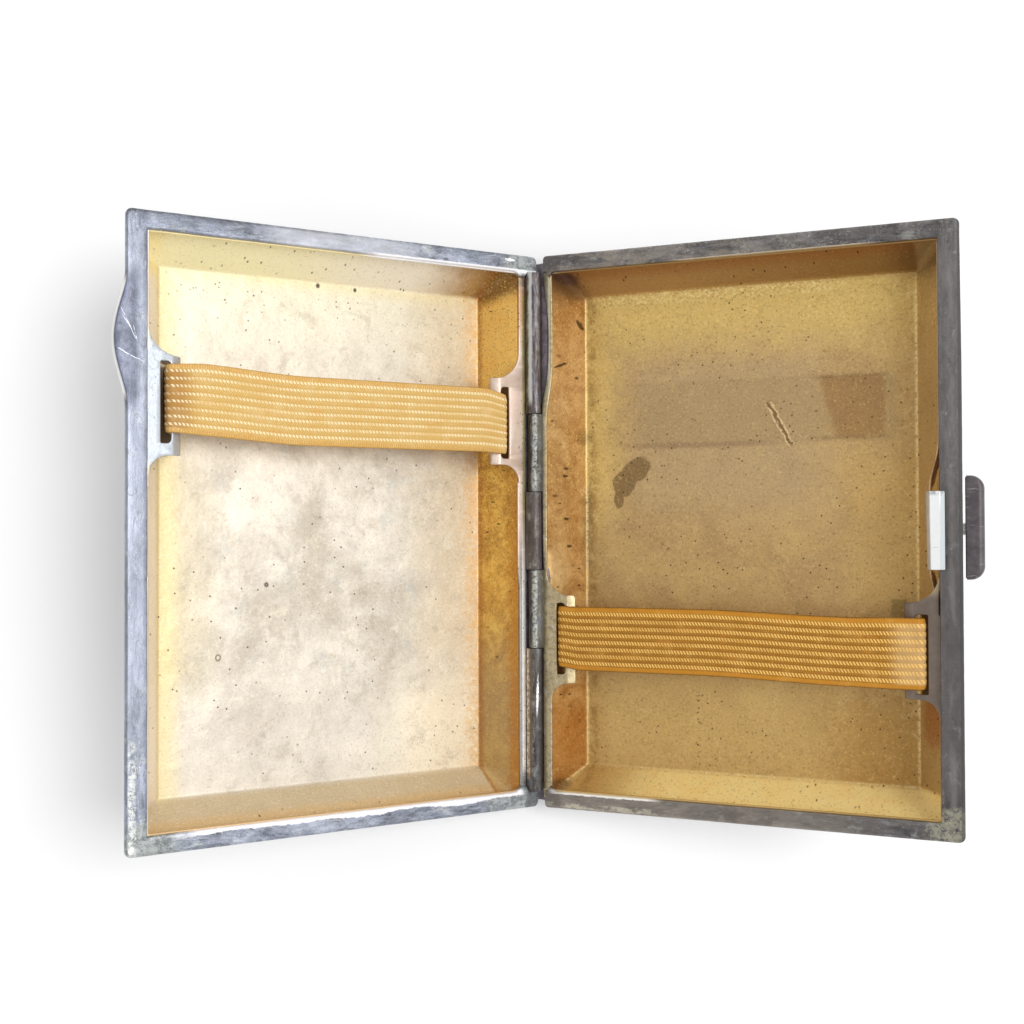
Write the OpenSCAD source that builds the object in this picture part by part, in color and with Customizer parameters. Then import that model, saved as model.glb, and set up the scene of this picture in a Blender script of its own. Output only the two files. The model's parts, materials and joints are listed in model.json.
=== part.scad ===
// Flat metal cigarette case, standing open on its spine.
// Each half is drawn in its own frame: X runs from the hinge axis to the
// catch side, Y runs along the hinge, and Z = 0 is the mouth plane, so the
// floor of the tray is at Z = -tray_depth. in_base() and in_lid() then lean
// the two halves apart, and stand them on the two bends beside the spine.

/* [Case] */
// Length of both halves, along the hinge
case_len = 83; // [70:0.5:100]
// Hinge axis to the outer edge of the rim
case_reach = 61; // [54:0.5:80]
// Mouth plane to the floor of a tray, one layer of cigarettes deep
tray_depth = 8; // [7:0.1:12]
// Thickness of the pressed sheet
sheet = 0.6; // [0.5:0.05:0.7]
// Angle between the two mouths where the spine edges meet and stop
open_angle = 126; // [110:1:140]
// Gap between the two rims when the case is shut
closing_gap = 0.1; // [0.06:0.02:0.3]

/* [Tray walls] */
// Outer rim edge to the floor's crease, on the catch side
slope_outer = 6.3; // [5:0.1:8]
// Outer rim edge to the floor's crease, at the two ends
slope_end = 5.5; // [4.5:0.1:8]
// Hinge axis to the floor's crease, on the spine side
slope_spine = 5.3; // [4.5:0.1:7]
// Inner radius of the bend between wall and floor
bend_r = 1.2; // [0.6:0.1:1.8]
// How far the rim band stands proud of the wall below it
rim_proud = 0.4; // [0.3:0.05:0.6]
// Radius of the corners in plan
corner_r = 0.9; // [0.5:0.1:2]

/* [Rim] */
// Thickness of the rim band
rim_t = 0.7; // [0.5:0.05:1]
// Width of the rim band on the catch side
rim_outer = 2.85; // [2.2:0.05:3.4]
// Width of the rim band at the two ends
rim_end = 2.5; // [2:0.05:3]
// Rounding of the rim's outer top edge
rim_round = 0.3; // [0.1:0.05:0.45]
// Length of the raised thumb lip on the lid's rim
lip_len = 17.3; // [12:0.1:20]
// How far the thumb lip stands out
lip_out = 1.65; // [0.8:0.05:2]
// Thumb lip's middle, from the middle of the case
lip_at = 24.8; // [18:0.1:26]

/* [Bezel plate] */
// Thickness of the plate soldered under the rim
bezel_t = 0.4; // [0.3:0.05:0.5]
// How far the lid's plate shows inside the rim, on the catch side
lid_ledge = 0.45; // [0.2:0.05:0.7]
// How far the base's plate shows inside the rim, on the catch side
base_ledge = 0.15; // [0.1:0.05:0.4]
// How far both plates show inside the rim at the two ends
end_ledge = 0.2; // [0.1:0.05:0.5]
// Width of the plate's strip beside the hinge
strip_w = 1.1; // [0.9:0.05:1.4]

/* [Strap loops] */
// Middle of a strap, from the middle of the case
loop_at = 16.3; // [14:0.1:19]
// Length of a loop along the hinge
loop_len = 12.5; // [12:0.1:14]
// Length of the slot that a strap goes through
slot_len = 10.8; // [10.5:0.1:11.2]
// Width of the slot
slot_w = 1.4; // [1.3:0.05:1.8]
// Width of the bar that a strap goes round
loop_bar = 1.4; // [1:0.05:1.8]
// How far the bar is bent down, in degrees
bar_bend = 30; // [15:1:35]
// Rim edge to the slot, on the catch side
outer_neck = 1.95; // [1.5:0.05:2.5]
// Strip to the slot, beside the base's hinge
base_neck = 0.8; // [0.5:0.05:1.5]
// Strip to the slot, beside the lid's hinge
lid_neck = 1.7; // [0.8:0.05:2]
// Fillet on the upper side of each loop
fillet_up = 4; // [1.5:0.1:4.2]
// Fillet on the lower side of each loop
fillet_down = 2.6; // [1.5:0.1:4]

/* [Straps] */
// Width of the woven elastic
strap_w = 9.9; // [9:0.1:10.2]
// Thickness of the woven elastic
strap_t = 0.8; // [0.6:0.05:0.9]
// Length of the folded end that is sewn back under the strap
strap_tail = 8.6; // [7.5:0.1:10]
// Gap between the strap and the top of the bar
strap_seat = 0.1; // [0.05:0.05:0.3]
// Stitches across each end
stitches = 6; // [4:1:7]
// Thickness of the sewing thread
thread = 0.25; // [0.15:0.05:0.35]

/* [Hinge] */
// Outer diameter of the knuckles
barrel_d = 2.06; // [1.9:0.02:2.2]
// Diameter of the hinge pin
pin_d = 1; // [0.8:0.02:1.1]
// Radial running clearance between pin and knuckles
pin_fit = 0.05; // [0.02:0.01:0.1]
// Length of each of the three middle knuckles
knuckle = 11.75; // [9:0.05:14]
// End play between one knuckle and the next
knuckle_gap = 0.08; // [0.04:0.02:0.2]
// Clearance between the barrel and the gutter that it lies in
gutter_clear = 0.37; // [0.3:0.01:0.42]
// Thickness of the gutter
gutter_t = 0.6; // [0.5:0.05:0.8]
// How far the gutter's foot runs down the spine wall
gutter_foot = 2; // [1.2:0.1:3]
// Angle left between each gutter's edge and the middle, when open
stop_slack = 2; // [1:0.5:5]
// Thickness of the plug at each end of the pin
plug_t = 0.6; // [0.4:0.05:1]

/* [Catch] */
// Travel of the thumb piece
press_travel = 0.8; // [0.5:0.05:0.9]
// Air left behind the thumb piece when it is pressed in
press_clear = 0.1; // [0.05:0.01:0.3]
// Length of the thumb piece
thumb_len = 13.9; // [10:0.1:18]
// How far the thumb piece stands out from its inner face
thumb_out = 2.25; // [1.8:0.05:3]
// Height of the thumb piece
thumb_h = 2.2; // [1.9:0.05:3]
// Radius of the thumb piece's outer corners
thumb_r = 1.8; // [1:0.1:1.8]
// Rounding of the thumb piece's outer face
thumb_soft = 0.8; // [0.4:0.05:0.9]
// Gap between the thumb piece and the rim above it
thumb_drop = 0.2; // [0.1:0.05:0.4]
// Length of the tongue
tongue_len = 10.4; // [8:0.1:13]
// Thickness of the tongue's upright plate
tongue_t = 0.6; // [0.4:0.05:0.8]
// Height of the tongue's nose
nose_h = 0.8; // [0.6:0.05:1]
// Edge of the rim to the tongue's back
tongue_back = 1.15; // [1:0.05:1.4]
// Clearance round the nose, and between its tip and the lid when pressed
nose_clear = 0.1; // [0.05:0.01:0.2]
// Diameter of the stem
stem_d = 1.6; // [1.2:0.05:1.6]
// Radial running clearance of the stem in the wall
stem_fit = 0.08; // [0.02:0.01:0.1]
// Thickness of the leaf spring
leaf_t = 0.25; // [0.15:0.05:0.4]
// Height of the leaf spring
leaf_h = 1.9; // [1.4:0.1:2.2]
// Length of the leaf spring
leaf_len = 23; // [20:0.5:24]
// Height of the leaf spring's top edge below the bezel plate
leaf_drop = 0.15; // [0.1:0.05:0.4]
// Length of the notch in the lid's plate that the tongue passes through
lid_notch = 11.6; // [11.2:0.1:14]
// Seat gap of soldered pieces
solder = 0.02; // [0.01:0.01:0.05]

/* [Hidden] */

$fn = 48;
bend_steps = 6;
// Extra length of cutting forms, and the small gap between pieces that don't touch
over = 1;
air = 0.05;

silver = "#8d9096";
pale_silver = "#c9c6c4";
gilt_lid = "#e6cf94";
gilt_base = "#b98d3e";
elastic = "#d2a24c";
steel = "#6e6a64";
polished = "#e4e6e8";

tilt = (180 - open_angle) / 2;
half_len = case_len / 2;

// Levels below the mouth plane, as positive depths
rim_top = closing_gap / 2;
rim_under = rim_top + rim_t;
bezel_under = rim_under + bezel_t;
bar_low = rim_under + loop_bar * tan(bar_bend) + bezel_t / cos(bar_bend);

// The hinge's radii, and where the spine edge of sheet and plate begin
barrel_r = barrel_d / 2;
bore_r = pin_d / 2 + pin_fit;
gutter_r = barrel_r + gutter_clear;
spine_top = gutter_r + air;
strip_start = sqrt(pow(gutter_r, 2) - pow(rim_under, 2)) + solder;
strip_end = strip_start + strip_w;
lid_rim_start = -2 * air;
base_rim_start = gutter_r;
barrel_half = half_len - rim_end - air;

// Lean of a wall from upright: its outer face starts at the rim's underside,
// and its inner face meets the floor at the crease, one sheet thickness away
function lean(run) =
    acos(sheet / norm([run, tray_depth - rim_under])) - atan2(tray_depth - rim_under, run);
lean_outer = lean(slope_outer - rim_proud);
lean_end = lean(slope_end - rim_proud);
lean_spine = lean(slope_spine - spine_top);

// Distance from a wall's inner face to the rim's outer edge, at a given depth
function wall_in(crease, lean_a, depth) = crease - tan(lean_a) * (tray_depth - depth);

// Edge of the rim inside the tray, on the catch side
rim_edge = case_reach - rim_outer;

// Catch: faces across the case, and levels
thumb_in = case_reach - rim_proud + press_travel + press_clear;
thumb_top = rim_under + thumb_drop;
stem_depth = thumb_top + thumb_h / 2;
tongue_in = rim_edge - tongue_back;
nose_tip = rim_edge + press_travel - nose_clear;
nose_under = bezel_under + nose_clear;
tongue_low = stem_depth + stem_d / 2 + 4 * air;
leaf_top = bezel_under + leaf_drop;
leaf_mid = tongue_in - solder - leaf_t;
leaf_end = case_reach - wall_in(slope_outer, lean_outer, leaf_top + leaf_h) - leaf_t - air;

// Where the case stands: on the lowest line of each spine bend, and centred
// between the thumb piece and the thumb lip
spine_bend = bend_centre(slope_spine, lean_spine, 1);
stand_r = bend_r + sheet;
axis_z = stand_r - spine_bend[0] * sin(tilt) - spine_bend[1] * cos(tilt);
reach_right = (thumb_in + thumb_out - thumb_soft) * cos(tilt)
    + (thumb_top + thumb_h - thumb_soft) * sin(tilt) + thumb_soft;
reach_left = (case_reach + lip_out) * cos(tilt) + rim_under * sin(tilt);
mid_x = (reach_right - reach_left) / 2;

// Centre of the bend beside a crease; side is 1 where the wall is on the left
function bend_centre(crease, lean_a, side) =
    [crease + side * bend_r * (1 - sin(lean_a)) / cos(lean_a), bend_r - tray_depth];

// One wall of a tray's section with its bend, from the top down; grow is 0
// for the inner face and the sheet thickness for the outer one
function wall_line(crease, lean_a, side, grow, top) =
    let (c = bend_centre(crease, lean_a, side),
         r = bend_r + grow,
         arc = [for (i = [0 : bend_steps])
                let (a = 180 + lean_a + (90 - lean_a) * i / bend_steps)
                c + r * [side * cos(a), sin(a)]],
         climb = (top - arc[0][1]) / cos(lean_a))
    concat([arc[0] + climb * [-side * sin(lean_a), cos(lean_a)]], arc);

function reversed(list) = [for (i = [len(list) - 1 : -1 : 0]) list[i]];

module in_base() {
    translate([-mid_x, 0, axis_z]) rotate([0, -tilt, 0]) children();
}

module in_lid() {
    translate([-mid_x, 0, axis_z]) mirror([1, 0, 0]) rotate([0, -tilt, 0]) children();
}

// A section drawn in X and Z, run along the hinge
module along_hinge(length) {
    rotate([90, 0, 0]) linear_extrude(length, center = true) children();
}

// A section drawn in Y and Z, run across the case from start
module across_case(start, length) {
    translate([start, 0, 0]) rotate([90, 0, 90]) linear_extrude(length) children();
}

// A plan drawn in X and Y, between two depths
module slab(top, under) {
    translate([0, 0, -under]) linear_extrude(under - top) children();
}

// The tray's solid form: two bent sections that meet in mitred corners
module tray_form(grow, top) {
    intersection() {
        along_hinge(case_len) polygon(concat(
            wall_line(slope_spine, lean_spine, 1, grow, top),
            reversed(wall_line(case_reach - slope_outer, lean_outer, -1, grow, top))));
        across_case(0, case_reach) polygon(concat(
            wall_line(slope_end - half_len, lean_end, 1, grow, top),
            reversed(wall_line(half_len - slope_end, lean_end, -1, grow, top))));
    }
}

// What rounding a corner of radius r takes away, corner at the origin
module corner_waste(r, sx, sy) {
    mirror([sx > 0 ? 0 : 1, 0]) mirror([0, sy > 0 ? 0 : 1]) difference() {
        translate([-r, -r]) square(r + over);
        translate([-r, -r]) circle(r);
    }
}

// Plan of a half from start to the catch side, with its corners rounded
module half_plan(start, inset, r_hinge) {
    far = case_reach - inset;
    edge = half_len - inset;
    difference() {
        translate([start, -edge]) square([far - start, 2 * edge]);
        for (s = [-1, 1]) {
            translate([far, s * edge]) corner_waste(corner_r, 1, s);
            if (r_hinge > 0) translate([start, s * edge]) corner_waste(r_hinge, -1, s);
        }
    }
}

// Half the length of the opening between the end walls, at a given depth
function half_mouth(depth) = half_len - wall_in(slope_end, lean_end, depth);

// The pressed tray; its spine wall is cut down to carry the bezel plate
module shell() {
    plate_edge = half_mouth(bezel_under);
    difference() {
        intersection() {
            tray_form(sheet, -rim_under);
            slab(0, tray_depth + over) half_plan(0, rim_proud, 0);
        }
        tray_form(0, over);
        slab(rim_under - over, bezel_under)
            translate([-over, -plate_edge]) square([strip_end + over, 2 * plate_edge]);
    }
}

// The rim's outer section at its catch side, with the top edge rounded
module rim_section(low, high, round_low) {
    polygon(concat(
        [[high, -rim_under]],
        [for (a = [0 : 30 : 90])
            [high - rim_round * (1 - cos(a)), -rim_top - rim_round * (1 - sin(a))]],
        round_low
            ? [for (a = [90 : 30 : 180])
                [low + rim_round * (1 + cos(a)), -rim_top - rim_round * (1 - sin(a))]]
            : [[low, -rim_top]],
        [[low, -rim_under]]));
}

module rim(start, r_hinge) {
    intersection() {
        slab(rim_top, rim_under) difference() {
            half_plan(start, 0, r_hinge);
            translate([start - over, rim_end - half_len])
                square([rim_edge - start + over, 2 * (half_len - rim_end)]);
        }
        along_hinge(case_len + over) rim_section(start, case_reach, false);
        across_case(start, case_reach - start) rim_section(-half_len, half_len, true);
    }
}

// Bell-shaped lip that a thumbnail finds on the lid's edge
module thumb_lip() {
    steps = 16;
    fullness = 0.8;
    slab(rim_top, rim_under) polygon(concat(
        [[rim_edge + over, lip_at + lip_len / 2]],
        [for (i = [0 : steps])
            let (t = i / steps)
            [case_reach + lip_out * pow((1 - cos(360 * t)) / 2, fullness),
             lip_at + lip_len * (0.5 - t)]],
        [[rim_edge + over, lip_at - lip_len / 2]]));
}

// Plan of a strap loop, from the plate's edge at X = 0 into the tray
module loop_plan(neck) {
    reach = neck + slot_w + loop_bar;
    up = min(fillet_up, reach);
    down = min(fillet_down, reach);
    difference() {
        union() {
            translate([-strip_w / 2, -loop_len / 2]) square([reach + strip_w / 2, loop_len]);
            translate([0, loop_len / 2]) difference() {
                translate([-strip_w / 2, 0]) square([up + strip_w / 2, up]);
                translate([up, up]) circle(up);
            }
            translate([0, -loop_len / 2 - down]) difference() {
                translate([-strip_w / 2, 0]) square([down + strip_w / 2, down]);
                translate([down, 0]) circle(down);
            }
        }
        translate([neck, -slot_len / 2]) square([slot_w, slot_len]);
    }
}

// A strap loop: the flat arms, and the bar bent down to lead the strap in
module strap_loop(neck) {
    fold = neck + slot_w;
    run = loop_bar + over;
    fall = run * tan(bar_bend);
    intersection() {
        slab(0, bar_low + fall) loop_plan(neck);
        along_hinge(4 * loop_len) polygon([
            [-strip_w / 2, -rim_under],
            [fold, -rim_under],
            [fold + run, -rim_under - fall],
            [fold + run, -rim_under - fall - bezel_t / cos(bar_bend)],
            [fold - bezel_t * tan(bar_bend / 2), -bezel_under],
            [-strip_w / 2, -bezel_under]]);
    }
}

// Plate under the rim, with its two strap loops and a notch for the catch
module bezel(ledge, hinge_neck, at, notch) {
    out = case_reach - wall_in(slope_outer, lean_outer, bezel_under) - solder;
    edge = half_mouth(bezel_under) - solder;
    inner = rim_edge - ledge;
    inner_edge = half_len - rim_end - end_ledge;
    slab(rim_under, bezel_under) difference() {
        translate([strip_start, -edge]) square([out - strip_start, 2 * edge]);
        translate([strip_end, -inner_edge]) square([inner - strip_end, 2 * inner_edge]);
        translate([inner - over, -notch / 2]) square([ledge + over, notch]);
    }
    translate([strip_end, at, 0]) strap_loop(hinge_neck);
    translate([inner, at, 0]) mirror([1, 0, 0]) strap_loop(outer_neck - ledge);
}

// Gutter strip soldered to the spine wall: the barrel lies in it, and the
// edges of the two gutters meet when the case is open
module hinge_bearer() {
    stop_at = (360 - open_angle) / 2 - stop_slack;
    foot_from = 60;
    foot_proud = 2 * air;
    out_r = gutter_r + gutter_t;
    foot_low = bezel_under + gutter_foot;
    function spine_out(depth) = spine_top + tan(lean_spine) * (depth - rim_under);
    difference() {
        along_hinge(2 * barrel_half) difference() {
            polygon(concat(
                [[0, 0]],
                [for (i = [0 : bend_steps])
                    let (a = stop_at + (foot_from - stop_at) * i / bend_steps)
                    out_r * [cos(a), -sin(a)]],
                [[spine_out(foot_low) - foot_proud, -foot_low],
                 [spine_out(foot_low) + sheet / 2, -foot_low],
                 [spine_out(bezel_under) + sheet / 2, -bezel_under]]));
            circle(gutter_r);
            translate([-case_reach / 2, -bezel_under]) square([case_reach, case_reach]);
        }
        tray_form(sheet + solder, over);
    }
}

// A knuckle with the web that joins it to its own gutter
module hinge_knuckle(from, to) {
    web_from = 60;
    web_to = 110;
    far = 2 * gutter_r;
    translate([0, (from + to) / 2, 0])
        along_hinge(to - from - knuckle_gap) difference() {
            union() {
                circle(barrel_r);
                intersection() {
                    circle(gutter_r - solder);
                    polygon([[0, 0], far * [cos(web_from), -sin(web_from)],
                             far * [cos(web_to), -sin(web_to)]]);
                }
            }
            circle(bore_r);
        }
}

module pin_rod(from, to, r) {
    translate([0, (from + to) / 2, 0]) rotate([90, 0, 0])
        cylinder(h = to - from, r = r, center = true);
}

// Half of a strap's section: up through the slot, over the bar and along,
// with the folded end sewn back underneath. X = 0 is the slot's near edge.
module strap_end(half_run) {
    under = strap_seat - rim_under;
    top = under + strap_t;
    leg = (slot_w - strap_t) / 2;
    loop_low = -bar_low - strap_seat;
    fold = slot_w + loop_bar;
    climb = 2 * strap_t;
    soft = strap_t / 2;
    difference() {
        polygon([[leg, loop_low - strap_t + soft],
                 [leg, top - soft],
                 [leg + soft / 3, top - soft / 3],
                 [leg + soft, top],
                 [half_run, top],
                 [half_run, under],
                 [leg + strap_tail, under],
                 [leg + strap_tail, under - strap_t],
                 [fold + climb + strap_t, under - strap_t],
                 [fold + 2 * strap_seat, loop_low - strap_t],
                 [leg + soft, loop_low - strap_t]]);
        polygon([[leg + strap_t, under],
                 [leg + strap_t, loop_low],
                 [fold + strap_seat, loop_low],
                 [fold + climb, under]]);
    }
}

module strap(hinge_neck, at) {
    near = strip_end + hinge_neck;
    far = rim_edge - outer_neck;
    half_run = (far - near) / 2 + strap_t;
    translate([0, at, 0]) along_hinge(strap_w) {
        translate([near, 0]) strap_end(half_run);
        translate([far, 0]) mirror([1, 0]) strap_end(half_run);
    }
}

// Stitches under the folded ends, a stitch's height in from the fold's end
module strap_stitching(hinge_neck, at) {
    near = strip_end + hinge_neck;
    far = rim_edge - outer_neck;
    margin = 2 * thread;
    pitch = (strap_w - 2 * margin) / stitches;
    stitch = pitch * 3 / 4;
    row = (slot_w - strap_t) / 2 + strap_tail - 2 * margin;
    seat = strap_seat - rim_under - strap_t - thread / 2 - solder;
    for (x = [near + row, far - row], i = [0 : stitches - 1])
        translate([x, at + (i + 0.5 - stitches / 2) * pitch, seat])
            cube([thread, stitch, thread], center = true);
}

// Bow of the leaf spring's outer face: flat behind the tongue, then out to
// the wall at both ends
function leaf_x(y) =
    let (flat = tongue_len / 2 + 4 * air,
         t = max(0, (abs(y) - flat) / (leaf_len / 2 - flat)))
    leaf_mid + (leaf_end - leaf_mid) * (1 - cos(180 * t)) / 2;

module leaf_form() {
    steps = 24;
    ys = [for (i = [0 : steps]) leaf_len * (i / steps - 0.5)];
    slab(leaf_top, leaf_top + leaf_h) polygon(concat(
        [for (y = ys) [leaf_x(y), y]],
        reversed([for (y = ys) [leaf_x(y) + leaf_t, y]])));
}

module thumb_form() {
    out = thumb_in + thumb_out;
    low = -thumb_top - thumb_h;
    intersection() {
        slab(thumb_top, thumb_top + thumb_h) difference() {
            translate([thumb_in, -thumb_len / 2]) square([thumb_out, thumb_len]);
            for (s = [-1, 1])
                translate([out, s * thumb_len / 2]) corner_waste(thumb_r, 1, s);
        }
        along_hinge(thumb_len) difference() {
            translate([thumb_in, low]) square([thumb_out, thumb_h]);
            translate([out, -thumb_top]) corner_waste(thumb_soft, 1, 1);
            translate([out, low]) corner_waste(thumb_soft, 1, -1);
        }
    }
}

module stem_rod(from, to, r) {
    translate([from, 0, -stem_depth]) rotate([0, 90, 0]) cylinder(h = to - from, r = r);
}

// Tongue: an upright plate with a bevelled nose that hooks over the lid's rim
module tongue_form() {
    high = nose_under + nose_h;
    along_hinge(tongue_len) polygon([
        [tongue_in, -tongue_low],
        [tongue_in + tongue_t, -tongue_low],
        [tongue_in + tongue_t, nose_under],
        [nose_tip, nose_under],
        [nose_tip, nose_under + nose_h / 4],
        [tongue_in + tongue_t * 1.5, high],
        [tongue_in + tongue_t / 2, high],
        [tongue_in, high - tongue_t / 2]]);
}

module base_shell() {
    color(gilt_base) in_base() difference() {
        shell();
        stem_rod(rim_edge - slope_outer, case_reach + over, stem_d / 2 + stem_fit);
    }
}
module base_rim() { color(silver) in_base() rim(base_rim_start, 0); }
module base_bezel() {
    color(pale_silver) in_base() bezel(base_ledge, base_neck, -loop_at, leaf_len);
}
module base_hinge_bearer() { color(silver) in_base() hinge_bearer(); }
module base_knuckle_upper() {
    color(silver) in_base() hinge_knuckle(knuckle / 2, knuckle * 1.5);
}
module base_knuckle_lower() {
    color(silver) in_base() hinge_knuckle(-knuckle * 1.5, -knuckle / 2);
}
module base_strap() { color(elastic) in_base() strap(base_neck, -loop_at); }
module base_strap_stitching() {
    color(elastic) in_base() strap_stitching(base_neck, -loop_at);
}

module catch_spring() { color(gilt_base) in_base() leaf_form(); }
module thumb_piece() { color(silver) in_base() thumb_form(); }
module catch_stem() {
    color(steel) in_base()
        stem_rod(tongue_in + tongue_t + solder, thumb_in - solder, stem_d / 2);
}
module catch_tongue() { color(polished) in_base() tongue_form(); }

module lid_shell() { color(gilt_lid) in_lid() shell(); }
module lid_rim() {
    color(silver) in_lid() {
        rim(lid_rim_start, rim_round);
        thumb_lip();
    }
}
module lid_bezel() {
    color(pale_silver) in_lid()
        bezel(lid_ledge, lid_neck, loop_at, lid_notch);
}
module lid_hinge_bearer() { color(silver) in_lid() hinge_bearer(); }
module lid_knuckle_top() {
    color(silver) in_lid() hinge_knuckle(knuckle * 1.5, barrel_half + knuckle_gap / 2);
}
module lid_knuckle_middle() {
    color(silver) in_lid() hinge_knuckle(-knuckle / 2, knuckle / 2);
}
module lid_knuckle_bottom() {
    color(silver) in_lid() hinge_knuckle(-barrel_half - knuckle_gap / 2, -knuckle * 1.5);
}
module lid_strap() { color(elastic) in_lid() strap(lid_neck, loop_at); }
module lid_strap_stitching() {
    color(elastic) in_lid() strap_stitching(lid_neck, loop_at);
}
module hinge_pin() {
    color(steel) in_lid()
        pin_rod(plug_t - barrel_half + solder, barrel_half - plug_t - solder, pin_d / 2);
}
module pin_plug_top() {
    color(silver) in_lid() pin_rod(barrel_half - plug_t, barrel_half, bore_r - solder / 2);
}
module pin_plug_bottom() {
    color(silver) in_lid() pin_rod(-barrel_half, plug_t - barrel_half, bore_r - solder / 2);
}

base_shell();
base_rim();
base_bezel();
base_hinge_bearer();
base_knuckle_upper();
base_knuckle_lower();
base_strap();
base_strap_stitching();
catch_spring();
thumb_piece();
catch_stem();
catch_tongue();
lid_shell();
lid_rim();
lid_bezel();
lid_hinge_bearer();
lid_knuckle_top();
lid_knuckle_middle();
lid_knuckle_bottom();
lid_strap();
lid_strap_stitching();
hinge_pin();
pin_plug_top();
pin_plug_bottom();
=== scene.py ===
"""Looks of a flat cigarette case, standing open on its spine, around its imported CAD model.

Each half has its own frame, in millimetres: u runs from the hinge axis to the catch side, w along the
hinge, and n up from the mouth plane. to_row() turns that into the row frame, in metres.
"""

import json
import math

import bmesh
import bpy
import numpy as np
from mathutils import Matrix, Vector, noise

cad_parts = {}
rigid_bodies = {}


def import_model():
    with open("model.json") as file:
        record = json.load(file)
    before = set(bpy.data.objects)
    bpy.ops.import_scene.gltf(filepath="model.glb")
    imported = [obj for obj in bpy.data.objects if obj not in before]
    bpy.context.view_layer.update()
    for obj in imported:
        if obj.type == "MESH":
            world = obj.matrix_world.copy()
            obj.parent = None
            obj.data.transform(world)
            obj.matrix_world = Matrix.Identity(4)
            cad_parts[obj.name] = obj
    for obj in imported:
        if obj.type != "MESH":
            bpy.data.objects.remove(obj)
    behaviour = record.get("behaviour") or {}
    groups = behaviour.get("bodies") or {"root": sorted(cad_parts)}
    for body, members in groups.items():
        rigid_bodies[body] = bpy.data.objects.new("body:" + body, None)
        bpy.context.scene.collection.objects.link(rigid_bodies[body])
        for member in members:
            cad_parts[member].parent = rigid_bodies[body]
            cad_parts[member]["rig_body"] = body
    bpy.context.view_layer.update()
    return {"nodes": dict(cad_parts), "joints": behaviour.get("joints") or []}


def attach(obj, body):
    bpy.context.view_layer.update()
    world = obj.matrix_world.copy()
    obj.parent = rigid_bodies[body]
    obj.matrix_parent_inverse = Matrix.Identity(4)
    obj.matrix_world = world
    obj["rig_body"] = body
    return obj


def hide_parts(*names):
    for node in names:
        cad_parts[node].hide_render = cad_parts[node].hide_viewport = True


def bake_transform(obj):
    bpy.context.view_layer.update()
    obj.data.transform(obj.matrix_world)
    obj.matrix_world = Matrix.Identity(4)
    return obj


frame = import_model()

MM = 0.001
BASE, LID = 1, -1
BODY = {BASE: "base", LID: "lid"}

# Sizes of the case, in millimetres
HALF_LEN = 41.5
REACH = 61.0
DEPTH = 8.0
SHEET = 0.6
SLOPE_OUTER, SLOPE_END, SLOPE_SPINE = 6.3, 5.5, 5.3
BEND_R, INNER_BEND = 1.2, 0.5
FLOOR_U, FLOOR_W = REACH - SLOPE_OUTER - SLOPE_SPINE, 72
RIM_PROUD = 0.4
CORNER_R = 0.9
RIM_TOP, RIM_UNDER, BEZEL_UNDER = 0.05, 0.75, 1.15
RIM_OUTER, RIM_END = 2.85, 2.5
RIM_EDGE = REACH - RIM_OUTER
BARREL_R, BORE_R, GUTTER_R = 1.03, 0.55, 1.4
BARREL_HALF = HALF_LEN - RIM_END - 0.05
KNUCKLE, KNUCKLE_GAP = 11.75, 0.08
STRIP_START, STRIP_END, STRIP_LIFT = 1.20, 2.30, 0.45
LIP_LEN, LIP_OUT, LIP_AT = 17.3, 1.65, 24.8
RIM_BOW = 0.12
LOOP_AT, LOOP_LEN, SLOT_LEN, SLOT_W, LOOP_BAR = 16.38, 13.0, 10.7, 1.4, 1.4
SLOT_OUT = {BASE: 1.75, LID: 1.4}
HINGE_SLOT, CATCH_SLOT = -0.2, 0.45
BAR_BEND = math.radians(30)
OUTER_NECK = {BASE: 1.6, LID: 1.8}
HINGE_NECK = {BASE: 0.8, LID: 1.7}
LEDGE = {BASE: 0.15, LID: 0.3}
END_LEDGE = 0.2
STRAP_W, STRAP_T, STRAP_TAIL, STRAP_SEAT = 9.5, 0.8, 8.6, 0.1
THUMB_IN, THUMB_OUT, THUMB_TOP, THUMB_H, THUMB_LEN = 61.5, 2.25, 0.95, 2.2, 13.9
THUMB_R, THUMB_SOFT = 1.8, 0.8
TONGUE_IN, TONGUE_T, TONGUE_LEN, TONGUE_LOW = 57.0, 0.6, 10.4, 3.05
NOSE_TIP, NOSE_UNDER, NOSE_TOP = 59.0, 1.25, 2.05
LEAF_T, LEAF_H, LEAF_LEN, LEAF_TOP = 0.25, 1.9, 23.0, 1.3
THUMB_AT, TONGUE_AT = 0.2, -0.17

HINGE = {j["name"]: j for j in frame["joints"]}["lid_hinge"]
AXIS_X, _, AXIS_Z = HINGE["pos_m"]
TILT = math.radians((180 - HINGE["range_deg"][1]) / 2)


def to_row(side, points):
    """Points (u, w, n) of one half, in millimetres, as row frame points in metres."""
    p = np.asarray(points, float).reshape(-1, 3)
    u, w, n = p[:, 0], p[:, 1], p[:, 2]
    x = side * (u * math.cos(TILT) - n * math.sin(TILT)) * MM + AXIS_X
    z = (u * math.sin(TILT) + n * math.cos(TILT)) * MM + AXIS_Z
    return np.stack([x, w * MM, z], 1)


def wobble(u, w, n, size, seed=0):
    """Smooth noise from -1 to 1 at a point in millimetres, the same at each run."""
    return noise.noise(Vector((u / size + seed * 7.3, w / size - seed * 3.1, n / size + seed)))


def ease(value, low, high):
    """Smooth step from 0 at low to 1 at high; low may be the greater."""
    t = min(1.0, max(0.0, (value - low) / (high - low)))
    return t * t * (3 - 2 * t)


# Mesh helpers

def placed(name, data):
    """A new object in the scene."""
    obj = bpy.data.objects.new(name, data)
    bpy.context.scene.collection.objects.link(obj)
    return obj


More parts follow.
